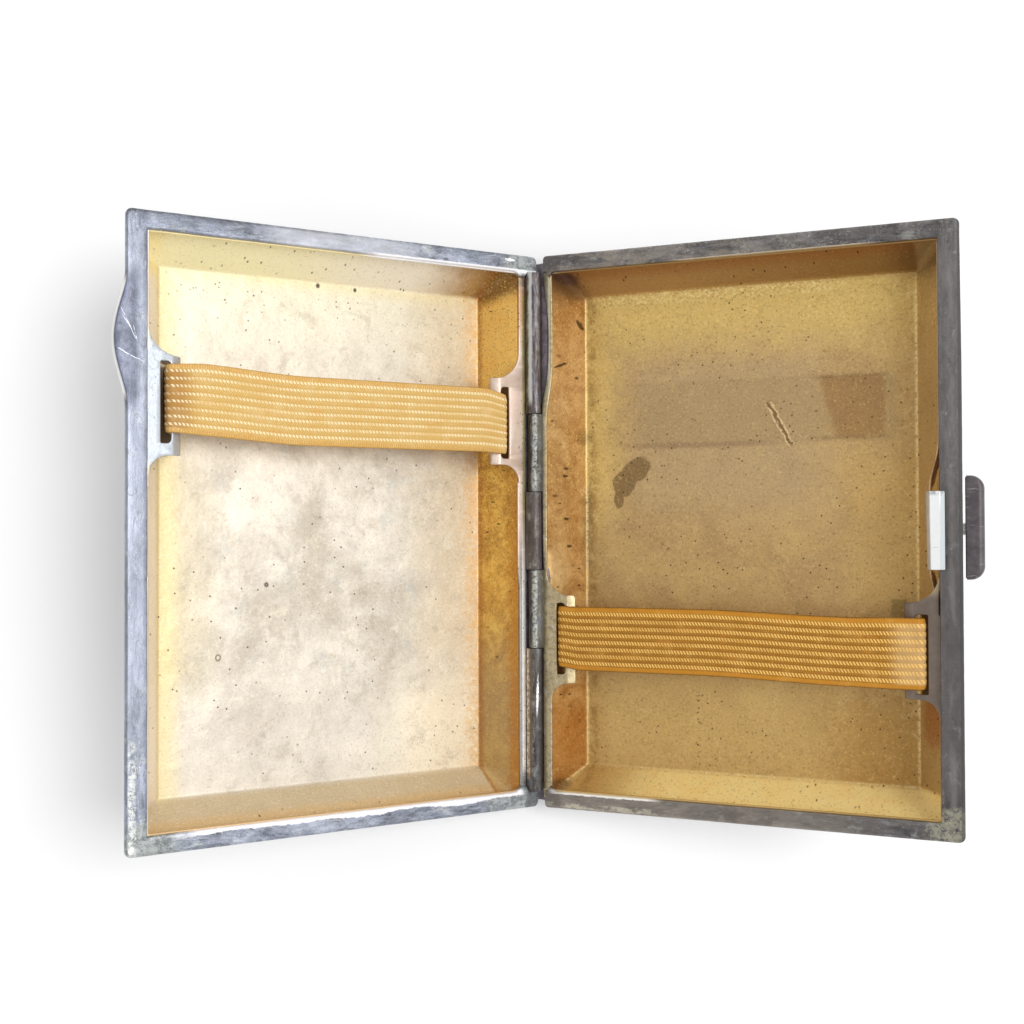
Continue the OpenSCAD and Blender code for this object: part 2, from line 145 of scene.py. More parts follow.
def raw_piece(name, side, points, faces, materials):
    """A smooth mesh object from half-frame points, which keep their order."""
    mesh = bpy.data.meshes.new(name)
    mesh.from_pydata(to_row(side, points).tolist(), [], [tuple(f) for f in faces])
    local = mesh.attributes.new("half", "FLOAT_VECTOR", "POINT")
    local.data.foreach_set("vector", np.asarray(points, np.float32).ravel())
    for material in materials:
        mesh.materials.append(material)
    mesh.shade_smooth()
    return placed(name, mesh)


def piece(name, side, points, faces, materials, slots=None, sharp=35, node=None, body=None):
    """A mesh piece from half-frame points and closed faces; slots gives each face's material."""
    obj = raw_piece(name, side, points, faces, materials)
    mesh = obj.data
    if slots is not None:
        mesh.polygons.foreach_set("material_index", np.asarray(slots, np.int32))
    tidy = bmesh.new()
    tidy.from_mesh(mesh)
    bmesh.ops.remove_doubles(tidy, verts=tidy.verts, dist=1e-7)
    bmesh.ops.dissolve_degenerate(tidy, edges=tidy.edges, dist=1e-7)
    bmesh.ops.recalc_face_normals(tidy, faces=tidy.faces)
    tidy.to_mesh(mesh)
    tidy.free()
    mesh.set_sharp_from_angle(angle=math.radians(sharp))
    finish_piece(obj, body or BODY[side], node)
    return obj


def finish_piece(obj, body, node):
    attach(obj, body)
    if node:
        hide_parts(node)


def grid_faces(rows, cols, wrap_rows=False, wrap_cols=False, start=0):
    """Quads between the points of a grid that is stored row by row."""
    out = []
    for i in range(rows if wrap_rows else rows - 1):
        for j in range(cols if wrap_cols else cols - 1):
            a, b = i * cols + j, i * cols + (j + 1) % cols
            c, d = ((i + 1) % rows) * cols + (j + 1) % cols, ((i + 1) % rows) * cols + j
            out.append((start + a, start + b, start + c, start + d))
    return out


def sweep(rings, cap=True, closed=False):
    """Points and faces of a tube through equal rings of points, with its two ends capped."""
    count, size = len(rings), len(rings[0])
    points = [p for ring in rings for p in ring]
    faces = grid_faces(count, size, wrap_rows=closed, wrap_cols=True)
    if cap and not closed:
        faces.append(tuple(range(size)))
        faces.append(tuple((count - 1) * size + k for k in reversed(range(size))))
    return points, faces


def spaced(low, high, step):
    """Evenly spaced values from low to high, about step apart."""
    return np.linspace(low, high, max(2, int(round(abs(high - low) / step)) + 1))


def arc(centre, radius, start, end, steps):
    """Points of an arc, between two angles in degrees."""
    turns = [math.radians(a) for a in np.linspace(start, end, steps + 1)]
    return [(centre[0] + radius * math.cos(a), centre[1] + radius * math.sin(a)) for a in turns]


# The plates' hinge strips

def strip(side, w):
    """Edges and lift of a hinge strip. The base's is bowed near its top and pinched beside the middle."""
    if side == LID:
        return STRIP_START, STRIP_END + 0.25 * ease(w, -9, -5) * ease(w, 10, 7), 0.0
    bow = math.cos(math.pi / 2 * min(1, abs(w - 28.5) / 9.5))
    slim = ease(w, 25, 16) * ease(w, -20, -12)
    lift = STRIP_LIFT * ease(w, 24, 17) * ease(w, -7, -2)
    start = STRIP_START - 0.05 + 0.8 * bow - 0.6 * ease(w, 24, 15) + 0.4 * ease(w, 9, -6)
    end = STRIP_END + 0.18 * ease(w, -20, -12) + 0.12 * bow - 0.95 * slim
    shift = lift * math.tan(TILT)
    beside_lid_knuckle = abs(w) < KNUCKLE / 2 or w > KNUCKLE * 1.5
    return max(start + shift, BARREL_R + 0.05 if beside_lid_knuckle else 0), end + shift, lift


# Trays

def lean(run):
    """Angle from upright of a wall whose outer face moves by run between rim and floor."""
    rise = DEPTH - RIM_UNDER
    return math.acos(SHEET / math.hypot(run, rise)) - math.atan2(rise, run)


LEAN_OUTER = lean(SLOPE_OUTER - RIM_PROUD)
LEAN_END = lean(SLOPE_END - RIM_PROUD)
LEAN_SPINE = lean(SLOPE_SPINE - GUTTER_R - 0.05)


def wall_profile(crease, angle, top, rows=7, bend_steps=7):
    """Inner and outer points (run, level) of a wall, from its top to the end of its bend."""
    out = []
    for radius, grow in ((INNER_BEND, 0), (BEND_R, SHEET)):
        centre = (crease + radius * (1 - math.sin(angle)) / math.cos(angle), radius - DEPTH)
        bend = []
        for k in range(bend_steps + 1):
            a = math.pi + angle + (math.pi / 2 - angle) * k / bend_steps
            reach = radius + grow
            bend.append((centre[0] + reach * math.cos(a), centre[1] + reach * math.sin(a)))
        climb = (-top - bend[0][1]) / math.cos(angle)
        head = (bend[0][0] - climb * math.sin(angle), -top)
        wall = [(head[0] + (bend[0][0] - head[0]) * k / rows, head[1] + (bend[0][1] - head[1]) * k / rows)
                for k in range(rows)]
        out.append(wall + bend)
    return np.array(out)


def tray_profile(near, far, step):
    """A tray's whole section: inner and outer points from one wall's top to the other's."""
    floor = spaced(near[0, -1, 0], far[0, -1, 0], step)[1:-1]
    levels = (-DEPTH, -DEPTH - SHEET)
    return [np.vstack([near[k], [(x, levels[k]) for x in floor], far[k][::-1]]) for k in (0, 1)]


def flipped(profile, origin):
    """A wall's profile seen from the other side."""
    out = profile.copy()
    out[..., 0] = origin - out[..., 0]
    return out


def tray(side, inside, outside):
    """The pressed tray: a sheet with soft mitred corners, a slightly sunk floor and a few dents."""
    across = tray_profile(wall_profile(SLOPE_SPINE, LEAN_SPINE, BEZEL_UNDER),
                          flipped(wall_profile(SLOPE_OUTER, LEAN_OUTER, RIM_UNDER), REACH), 1.1)
    end = wall_profile(SLOPE_END, LEAN_END, RIM_UNDER)
    along = tray_profile(flipped(end, 0) * [-1, 1] - [HALF_LEN, 0], flipped(end, HALF_LEN), 1.1)
    mitre = 12
    points, faces, slots = [], [], []
    rows, cols = len(across[0]), len(along[0])
    for k, level in ((0, DEPTH), (1, DEPTH + SHEET)):
        for start_u, nu in across[k]:
            for w, nw in along[k]:
                u = start_u
                rise = ((nu + level) ** mitre + (nw + level) ** mitre) ** (1 / mitre)
                flat = max(0, 1 - rise / 2.5)
                dent = 0.10 * wobble(u, w, 0, 17, side) + 0.05 * wobble(u, w, 0, 7, side + 3)
                middle = max(0, math.sin(math.pi * (u - SLOPE_SPINE) / FLOOR_U))
                middle *= max(0, math.cos(math.pi * w / FLOOR_W))
                sunk = 0.12 * min(1, 1.6 * middle)
                ripple = 0.06 * min(1, rise / 3) * wobble(u, w, 0, 5, side + 5)
                n = rise - level + flat * (dent * min(1, 3 * middle) - sunk) + ripple
                low, at_strip = RIM_UNDER, u < SLOPE_SPINE - 1 and abs(w) < HALF_LEN - 2.4
                if at_strip:
                    low = BEZEL_UNDER
                    _, end, lift = strip(side, w)
                    up = ease(n, -BEZEL_UNDER - 2.6, -BEZEL_UNDER)
                    u += min(0.1, end - STRIP_END) * up
                    n = min(n, -low) + lift * up
                    low -= lift
                points.append((u, w, min(n, -low)))
        start = k * rows * cols
        made = grid_faces(rows, cols, start=start)
        faces += made
        slots += [k] * len(made)
    edge = [i * cols for i in range(rows)] + [(rows - 1) * cols + j for j in range(1, cols)]
    edge += [i * cols + cols - 1 for i in range(rows - 2, -1, -1)] + [j for j in range(cols - 2, 0, -1)]
    shift = rows * cols
    for a, b in zip(edge, edge[1:] + edge[:1]):
        faces.append((a, b, b + shift, a + shift))
        slots.append(1)
    name = BODY[side]
    piece(f"{name}_tray", side, points, faces, [inside, outside], slots, sharp=60,
          node=f"{name}_shell")


# Rims

def lip(w):
    """How far the thumb lip stands out of the lid's edge."""
    t = (w - LIP_AT) / LIP_LEN + 0.5
    return LIP_OUT * ((1 - math.cos(2 * math.pi * t)) / 2) ** 0.8 if 0 < t < 1 else 0.0


def rim_stations(side):
    """Pairs of inner and outer plan points along one rim, from hinge end to hinge end."""
    start, corner = (GUTTER_R, 0.35) if side == BASE else (-0.4, 0.5)
    inner_w = HALF_LEN - RIM_END
    upper = []
    for k in range(5):
        a = math.pi / 2 * k / 4
        u = start + corner * (1 - math.cos(a))
        upper.append(((u, inner_w), (u, HALF_LEN - corner * (1 - math.sin(a)))))
    for u in spaced(start + corner, RIM_EDGE, 0.5)[1:]:
        pad = 0.75 * ease(u, STRIP_START - 0.1, STRIP_START + 0.1)
        pad *= ease(u, STRIP_END + 0.5, STRIP_END + 0.25)
        upper.append(((u, inner_w - pad), (u, HALF_LEN)))
    turn = [(u, HALF_LEN) for u in spaced(RIM_EDGE, REACH - CORNER_R, 0.5)[1:]]
    turn += arc((REACH - CORNER_R, HALF_LEN - CORNER_R), CORNER_R, 90, 0, 8)[1:]
    turn += [(REACH, w) for w in spaced(HALF_LEN - CORNER_R, inner_w, 0.5)[1:]]
    upper += [((RIM_EDGE, inner_w), p) for p in turn]
    lower = [((i[0], -i[1]), (o[0], -o[1])) for i, o in reversed(upper)]
    middle = []
    for w in spaced(inner_w, -inner_w, 0.5)[1:-1]:
        out = lip(w) if side == LID else RIM_BOW * ease(w, 41, 20)
        middle.append(((RIM_EDGE, w), (REACH + out, w)))
    for k, (i, o) in enumerate(lower if side == BASE else []):
        lower[k] = (i, (o[0] + RIM_BOW * ease(o[0], RIM_EDGE, REACH), o[1]))
    return upper + middle + lower


def rim(side, material):
    """A flat band with worn edges; the lid's carries the thumb lip."""
    soft, inner_soft = 0.42, 0.24
    rings = []
    for inner, outer in rim_stations(side):
        width = math.hypot(outer[0] - inner[0], outer[1] - inner[1])
        dx, dy = (outer[0] - inner[0]) / width, (outer[1] - inner[1]) / width
        stick = lip(inner[1]) if side == LID and outer[0] > REACH else 0
        section = [(0, -RIM_UNDER), (0, -0.45), (0, -RIM_TOP - inner_soft)]
        section += [(inner_soft * (1 - math.cos(a)), -RIM_TOP - inner_soft * (1 - math.sin(a)))
                    for a in (0.5, 1.0, math.pi / 2)]
        flat = width - inner_soft - soft
        section += [(inner_soft + flat * t, -RIM_TOP) for t in (0.2, 0.4, 0.6, 0.8)]
        section += [(width - soft * (1 - math.cos(a)), -RIM_TOP - soft * (1 - math.sin(a)))
                    for a in (math.pi / 2, 1.25, 0.9, 0.55, 0.25, 0)]
        section += [(width - 0.02, -RIM_UNDER + 0.1), (width - 0.1, -RIM_UNDER)]
        ring = []
        for t, n in section:
            u, w = inner[0] + dx * t, inner[1] + dy * t
            worn = 0.03 * (wobble(u, w, 0, 4, side + 1) - 1) + 0.012 * wobble(u, w, 0, 1.3, side)
            edge = 0.03 * wobble(u, w, n, 2.5, side + 2)
            out = max(0, t / width - 0.5) * 2
            past = max(0, (t - RIM_OUTER + 0.6) / (stick + 0.6))
            drop = 0.35 * stick / LIP_OUT * past ** 1.5
            pull = -abs(edge) * out + (edge * (1 - out) if t < width / 2 else 0)
            top = n > -RIM_UNDER + 0.05
            share = (n + RIM_UNDER) / (RIM_UNDER - RIM_TOP)
            ring.append((u + dx * pull, w + dy * pull, n + (worn - drop) * share if top else n))
        rings.append(ring)
    points, faces = sweep(rings)
    name = BODY[side]
    piece(f"{name}_rim_band", side, points, faces, [material], sharp=50,
          node=f"{name}_rim")


# Bezel plates

def loop_outline(edge, way, neck, at, root=0.0, slot=SLOT_W):
    """A strap loop's outline, from its upper root on the plate's edge to its lower root."""
    reach = neck + slot + LOOP_BAR
    up, down, r = min(4.0, reach), min(2.6, reach), 0.15
    top, low = at + LOOP_LEN / 2, at - LOOP_LEN / 2
    line = [(up + (up - root) * math.cos(a), top + up + up * math.sin(a))
            for a in np.linspace(math.pi, 1.5 * math.pi, 11)]
    line += [(reach - r, top), (reach, top - r), (reach, low + r), (reach - r, low)]
    line += [(down + down * math.cos(a), low - down + down * math.sin(a))
             for a in np.linspace(math.pi / 2, math.pi, 9)]
    return [(edge + way * x, w) for x, w in line]


def slot_outline(edge, way, neck, at, slot=SLOT_W):
    """The slot's outline, rounded most beside the bar."""
    near, far, half = neck, neck + slot, SLOT_LEN / 2
    line = []
    corners = (far, half, 0.6, 0), (near, half, 0.2, 90), (near, -half, 0.2, 180), (far, -half, 0.6, 270)
    for x, w, r, start in corners:
        cx, cw = x - math.copysign(r, x - (near + far) / 2), w - math.copysign(r, w)
        line += arc((cx, cw), r, start, start + 90, 4)
    return [(edge + way * x, at + w) for x, w in line]


def plate_mesh(outlines, thick, bevel):
    """A flat plate with holes, its edges rounded, centred on level 0, in millimetres."""
    curve = bpy.data.curves.new("plate", "CURVE")
    curve.dimensions = "2D"
    curve.fill_mode = "BOTH"
    curve.extrude = thick / 2 - bevel
    curve.bevel_depth = bevel
    curve.bevel_resolution = 2
    curve.offset = -bevel
    for outline in outlines:
        spline = curve.splines.new("POLY")
        spline.points.add(len(outline) - 1)
        for point, (x, y) in zip(spline.points, outline):
            point.co = (x, y, 0, 1)
        spline.use_cyclic_u = True
    holder = placed("plate", curve)
    bpy.context.view_layer.update()
    mesh = bpy.data.meshes.new_from_object(holder.evaluated_get(bpy.context.evaluated_depsgraph_get()))
    bpy.data.objects.remove(holder)
    return mesh


def bezel(side, material):
    """The plate under the rim: its hinge strip, ledges, catch notch and the two strap loops."""
    at = -side * LOOP_AT
    out = REACH - (SLOPE_OUTER - math.tan(LEAN_OUTER) * (DEPTH - BEZEL_UNDER)) - 0.05
    edge = HALF_LEN - (SLOPE_END - math.tan(LEAN_END) * (DEPTH - BEZEL_UNDER)) - 0.05
    inner, inner_edge = RIM_EDGE - LEDGE[side], HALF_LEN - RIM_END - END_LEDGE
    hinge_neck, outer_neck, slot_out = HINGE_NECK[side], OUTER_NECK[side], SLOT_OUT[side]
    notch = LEAF_LEN / 2 if side == BASE else 5.8
    root = strip(side, at + LOOP_LEN / 2 + 3.9)[1] - STRIP_END
    hinge_loop = loop_outline(STRIP_END, 1, hinge_neck, at, root)
    catch_loop = loop_outline(inner, -1, outer_neck - LEDGE[side], at, slot=slot_out)
    notch_line = [(inner, notch), (RIM_EDGE, notch), (RIM_EDGE, -notch), (inner, -notch)]
    right = sorted([(catch_loop, catch_loop[0][1]), (notch_line, notch)], key=lambda part: -part[1])
    above = [(strip(side, w)[1], w) for w in spaced(hinge_loop[0][1], inner_edge, 0.5)]
    below = [(strip(side, w)[1], w) for w in spaced(-inner_edge, hinge_loop[-1][1], 0.5)]
    hole = above[::-1][:1] + [(inner, inner_edge)] + [p for part, _ in right for p in part]
    hole += [(inner, -inner_edge)] + below + hinge_loop[::-1] + above[1:-1]
    steps = [s * w + d for w in (KNUCKLE / 2, KNUCKLE * 1.5) for s in (1, -1) for d in (-0.01, 0.01)]
    spine = [(strip(side, w)[0], w) for w in sorted(list(spaced(-edge, edge, 0.5)) + steps)]
    outer = [(out, -edge), (out, edge)] + spine[::-1]
    slots = [slot_outline(STRIP_END, 1, hinge_neck, at - side * HINGE_SLOT),
             slot_outline(inner, -1, outer_neck - LEDGE[side], at - side * CATCH_SLOT, slot_out)]
    mesh = plate_mesh([outer, hole] + slots, BEZEL_UNDER - RIM_UNDER, 0.12)
    fold, soft = 0.08, 0.3
    folds = (STRIP_END + hinge_neck + SLOT_W + fold, 1), (RIM_EDGE - outer_neck - slot_out - fold, -1)
    work = bmesh.new()
    work.from_mesh(mesh)
    cuts = [((f + d * way, 0, 0), (1, 0, 0)) for f, way in folds for d in (0, soft / 2, soft)]
    cuts += [((u, 0, 0), (1, 0, 0)) for u in spaced(4, 57, 4)]
    cuts += [((0, w, 0), (0, 1, 0)) for w in spaced(-39, 39, 1.2)]
    for place, way in cuts:
        bmesh.ops.bisect_plane(work, geom=work.verts[:] + work.edges[:] + work.faces[:],
                               plane_co=place, plane_no=way, dist=1e-4)
    bmesh.ops.triangulate(work, faces=[f for f in work.faces if len(f.verts) > 4])
    points, middle = [], (RIM_UNDER + BEZEL_UNDER) / 2
    for v in work.verts:
        u, w, n = v.co
        for start, way in folds:
            run = (u - start) * way
            if 0 < run < LOOP_BAR + 0.1 and abs(w - at) < LOOP_LEN / 2 + 4.2:
                n -= math.tan(BAR_BEND) * (run * run / (2 * soft) if run < soft else run - soft / 2)
        n += 0.03 * wobble(u, w, 0, 5, side + 6) + strip(side, w)[2] * ease(u, STRIP_END + 1.2, STRIP_END)
        points.append((u, w, n - middle))
    work.verts.index_update()
    faces = [[v.index for v in f.verts] for f in work.faces]
    work.free()
    name = BODY[side]
    piece(f"{name}_bezel_plate", side, points, faces, [material], sharp=50,
          node=f"{name}_bezel")


# Straps

STRAP_LEGS = {BASE: (0.6, 0.62), LID: (0.8, 0.95)}


def strap_path(side):
    """Centre line (u, n) of a strap, from one folded end under the bars to the other."""
    near, far = STRIP_END + HINGE_NECK[side], RIM_EDGE - OUTER_NECK[side]
    mid = STRAP_SEAT - RIM_UNDER + STRAP_T / 2
    tail = mid - STRAP_T - 0.02
    low = -RIM_UNDER - LOOP_BAR * math.tan(BAR_BEND) - 0.46 - STRAP_SEAT - STRAP_T / 2
    ends = []
    for leg, slot in zip(STRAP_LEGS[side], (SLOT_W, SLOT_OUT[side])):
        bar_end = slot + LOOP_BAR
        ends.append([(leg + STRAP_TAIL, tail), (bar_end + 3.2, tail), (bar_end + 1.7, tail - 0.25),
                     (bar_end + 0.6, low + 0.25), (bar_end - 0.5, low), (leg + 0.75, low + 0.02),
                     (leg + 0.18, low + 0.28), (leg, low + 0.75), (leg, mid - 0.75),
                     (leg + 0.12, mid - 0.3), (leg + 0.42, mid - 0.06), (leg + 0.95, mid),
                     (leg + 2.5, mid)])
    points = [(near + u, n) for u, n in ends[0]] + [(far - u, n) for u, n in reversed(ends[1])]
    return resample(points, 0.11)


def resample(points, step):
    """A smooth line through a few points, at even spacing, with its running length."""
    p = np.array(points, float)
    dense = []
    for i in range(len(p) - 1):
        a, b, c, d = p[max(i - 1, 0)], p[i], p[i + 1], p[min(i + 2, len(p) - 1)]
        span = np.linalg.norm(c - b)
        ta = (c - a) / max(np.linalg.norm(c - a), 1e-6) * span
        tb = (d - b) / max(np.linalg.norm(d - b), 1e-6) * span
        for t in np.linspace(0, 1, 24, endpoint=False):
            h = (2 * t**3 - 3 * t**2 + 1, t**3 - 2 * t**2 + t, -2 * t**3 + 3 * t**2, t**3 - t**2)
            dense.append(h[0] * b + h[1] * ta + h[2] * c + h[3] * tb)
    dense.append(p[-1])
    dense = np.array(dense)
    run = np.r_[0, np.cumsum(np.linalg.norm(np.diff(dense, axis=0), axis=1))]
    even = spaced(0, run[-1], step)
    line = np.stack([np.interp(even, run, dense[:, k]) for k in (0, 1)], 1)
    return line, even


ROWS, ROW_PITCH, ROW_TOP, SLANT = 8, 1.045, 4.01, 0.55
STITCH = {BASE: 0.45, LID: 0.52}
CORD_FROM, CORD_TO, GROOVE_AT = 0.54, 0.72, 0.86
CROSS_PITCH, BACK_PITCH = 0.33, 0.30


def weave(side, s, w):
    """Relief of the elastic from 0 to 1: rows of slanted stitches, a cord, and a groove below each."""
    g = (ROW_TOP - w) / ROW_PITCH
    f = g - np.floor(g)
    slant = 0.5 + 0.5 * np.cos(2 * math.pi * (side * s + SLANT * w) / STITCH[side])
    stitch = 0.72 + 0.28 * slant * np.sin(math.pi * np.clip(f / CORD_FROM, 0, 1))
    groove = 0.28 + 0.2 * np.cos(math.pi * (f - GROOVE_AT) / (1 - CORD_TO))
    row = np.where(f < CORD_FROM, stitch, np.where(f < CORD_TO, 0.7, groove))
    cross = 0.5 + 0.5 * np.cos(2 * math.pi * s / CROSS_PITCH)
    return np.where((g < 0) | (g > ROWS - 0.28), 0.5 + 0.1 * cross, row)


def sway(side, u):
    """Where the strap's middle lies, and how wide it is: it is pulled askew towards the catch side."""
    if side == LID:
        width = STRAP_W - 0.7 * ease(u, 8.5, 4) - 0.55 * ease(u, 50, 55.5)
        return 16.42 + 0.9 * ease(u, 36, 53) - 0.55 * ease(u, 9, 4), width
    width = STRAP_W - 0.4 * ease(u, 8, 4) + 0.2 * ease(u, 46, 52)
    return -16.05 - 0.68 * ease(u, 24, 48) + 0.25 * ease(u, 7, 4), width


def strap(side, material):
    """Ribbed woven elastic, folded round both bars, with its stitches in relief."""
    line, run = strap_path(side)
    tangent = np.gradient(line, axis=0)
    tangent /= np.linalg.norm(tangent, axis=1)[:, None]
    normal = np.stack([-tangent[:, 1], tangent[:, 0]], 1)
    if normal[len(normal) // 2][1] < 0:
        normal = -normal
    above, under = np.linspace(-1, 1, 97), np.linspace(1, -1, 41)
    ring = np.r_[above, under]
    up = np.r_[np.ones(len(above)), -np.ones(len(under))]
    relief, body = 0.16, STRAP_T / 2 - 0.03
    round_edge = np.sqrt(np.clip(1 - np.abs(ring) ** 14, 0, 1))
    rings, place = [], []
    for i, s in enumerate(run):
        middle, width = sway(side, line[i][0])
        folded = ease(normal[i][1], 0.2, -0.6)
        thick = (body - relief * (1 - weave(side, s, ring * STRAP_W / 2))) * round_edge * up
        rings.append([(line[i][0] + normal[i][0] * off, middle + t * width / 2 * (1 - 0.13 * folded),
                       line[i][1] + normal[i][1] * off) for t, off in zip(ring, thick)])
        place += [(s, t * STRAP_W / 2, way) for t, way in zip(ring, up)]
    points, faces = sweep(rings)
    if side == LID:
        faces = [face[::-1] for face in faces]
    name = BODY[side]
    obj = raw_piece(f"{name}_elastic", side, points, faces, [material])
    data = obj.data.attributes.new("weave", "FLOAT_VECTOR", "POINT")
    data.data.foreach_set("vector", np.asarray(place, np.float32).ravel())
    finish_piece(obj, name, f"{name}_strap")


def stitching(side, material):
    """The thread that holds the folded ends: short stitches under the strap."""
    near, far = STRIP_END + HINGE_NECK[side], RIM_EDGE - OUTER_NECK[side]
    count, r = 6, 0.125
    pitch = (STRAP_W - 1) / count
    level = STRAP_SEAT - RIM_UNDER - STRAP_T - r - 0.02
    row = (SLOT_W - STRAP_T) / 2 + STRAP_TAIL - 1
    points, faces = [], []
    for u in (near + row, far - row):
        for i in range(count):
            w0 = sway(side, u)[0] + (i + 0.5 - count / 2) * pitch
            rings = []
            for t in np.linspace(-1, 1, 9):
                fat = r * math.sqrt(max(0.02, 1 - t * t))
                w = w0 + t * pitch * 0.36
                rings.append([(u + fat * math.cos(a), w, level + fat * math.sin(a) * 0.9)
                              for a in np.linspace(0, 2 * math.pi, 9)[:-1]])
            p, f = sweep(rings)
            faces += [tuple(len(points) + k for k in face) for face in f]
            points += p
    name = BODY[side]
    piece(f"{name}_thread", side, points, faces, [material],
          node=f"{name}_strap_stitching")


# Hinge

def knuckle_radius(angle):
    """Outer radius of a knuckle, and of the web and fillet that join it to its own half."""
    wide = GUTTER_R - 0.02
    if -108 <= angle <= -32:
        return wide
    return BARREL_R + (wide - BARREL_R) * ease(angle, 40, -32) if -32 < angle < 40 else BARREL_R


def lathe(side, low, high, radius, inner, soft=0.09, dents=0.0):
    """A tube along the hinge axis with rounded end edges; radius is a function of the angle."""
    steps = 72
    sections = [(low, -soft), (low + soft * 0.3, -soft * 0.3), (low + soft, 0)]
    sections += [(w, 0) for w in spaced(low + soft, high - soft, 0.5)[1:-1]]
    sections += [(high - soft, 0), (high - soft * 0.3, -soft * 0.3), (high, -soft)]
    rings = []
    for w, grow in sections:
        ring = []
        for k in range(steps):
            a = 2 * math.pi * k / steps
            c, s = math.cos(a), math.sin(a)
            dent = max(0, 0.3 + wobble(c * 1.2, w, s * 1.2, 1.3, side + 11))
            dent += abs(wobble(c, w, s, 4, side))
            r = radius((math.degrees(a) + 180) % 360 - 180) + grow - dents * dent
            ring.append((r * c, w, r * s))
        rings.append(ring)
    if not inner:
        return sweep(rings)
    turns = [2 * math.pi * k / steps for k in range(steps)]
    rings += [[(inner * math.cos(a), w, inner * math.sin(a)) for a in turns] for w in (high, low)]
    return sweep(rings, cap=False, closed=True)


def hinge(materials):
    """Five knuckles, each with its web, and the plugs at the pin's ends."""
    gap = KNUCKLE_GAP / 2
    spans = {
        "lid_knuckle_top": (LID, KNUCKLE * 1.5 + gap, BARREL_HALF),
        "base_knuckle_upper": (BASE, KNUCKLE / 2 + gap, KNUCKLE * 1.5 - gap),
        "lid_knuckle_middle": (LID, -KNUCKLE / 2 + gap, KNUCKLE / 2 - gap),
        "base_knuckle_lower": (BASE, -KNUCKLE * 1.5 + gap, -KNUCKLE / 2 - gap),
        "lid_knuckle_bottom": (LID, -BARREL_HALF, -KNUCKLE * 1.5 - gap),
    }
    for node, (side, low, high) in spans.items():
        points, faces = lathe(side, low, high, knuckle_radius, BORE_R, dents=0.035)
        piece(f"{node}_tube", side, points, faces, [materials[side]], sharp=40, node=node)
    for node, low in (("pin_plug_top", BARREL_HALF - 0.6), ("pin_plug_bottom", -BARREL_HALF)):
        points, faces = lathe(LID, low, low + 0.6, lambda angle: BORE_R - 0.01, 0, soft=0.2)
        piece(f"{node}_cap", LID, points, faces, [materials[LID]], sharp=40, node=node)


def bearer(side, material):
    """The gutter strip behind the knuckles, trimmed at its ends along the tray's end walls."""
    stop, foot_from, foot_low = (360 - math.degrees(math.pi - 2 * TILT)) / 2 - 2, 60, BEZEL_UNDER + 2
    thick, wall = 0.6, lambda d: GUTTER_R + 0.05 + math.tan(LEAN_SPINE) * (d - RIM_UNDER)
    lip_at = -math.degrees(math.asin(BEZEL_UNDER / GUTTER_R))
    section = arc((0, 0), GUTTER_R, -stop, lip_at, 12)
    section.append((wall(BEZEL_UNDER), -BEZEL_UNDER))
    section += [(wall(foot_low) - gap, -foot_low) for gap in (0.02, 0.1)]
    section += arc((0, 0), GUTTER_R + thick, -foot_from, -stop, 12)
    rings = []
    for t in spaced(-1, 1, 0.02):
        ring = []
        for u, n in section:
            half = HALF_LEN - SLOPE_END + math.tan(LEAN_END) * (DEPTH + n) + SHEET
            ring.append((u, t * min(half, HALF_LEN - 0.9), n))
        rings.append(ring)
    points, faces = sweep(rings)
    name = BODY[side]
    piece(f"{name}_gutter", side, points, faces, [material], sharp=40,
          node=f"{name}_hinge_bearer")


# Catch

def thumb_piece(material):
    """Button with rounded ends and a soft outer face."""
    curve = [(THUMB_SOFT * (1 - math.cos(a)), THUMB_SOFT * (1 - math.sin(a)))
             for a in np.linspace(0, math.pi / 2, 7)]
    levels = [(-THUMB_TOP - THUMB_H + rise, inset) for rise, inset in curve]
    levels += [(-THUMB_TOP - rise, inset) for rise, inset in curve[::-1]]
    rings = []
    for n, inset in levels:
        out, half = THUMB_IN + THUMB_OUT - inset, THUMB_LEN / 2 - inset * 0.35
        r = THUMB_R - inset * 0.3
        line = [(THUMB_IN, -half)] + arc((out - r, r - half), r, -90, 0, 9)
        line += arc((out - r, half - r), r, 0, 90, 9)
        line += [(THUMB_IN, w) for w in spaced(half, -half, 2)[:-1]]
        rings.append([(u + 0.03 * min(0, wobble(u, w, n, 2, 9)), w + THUMB_AT, n) for u, w in line])
    points, faces = sweep(rings)
    piece("thumb_button", BASE, points, faces, [material], sharp=50,
          node="thumb_piece", body="catch")


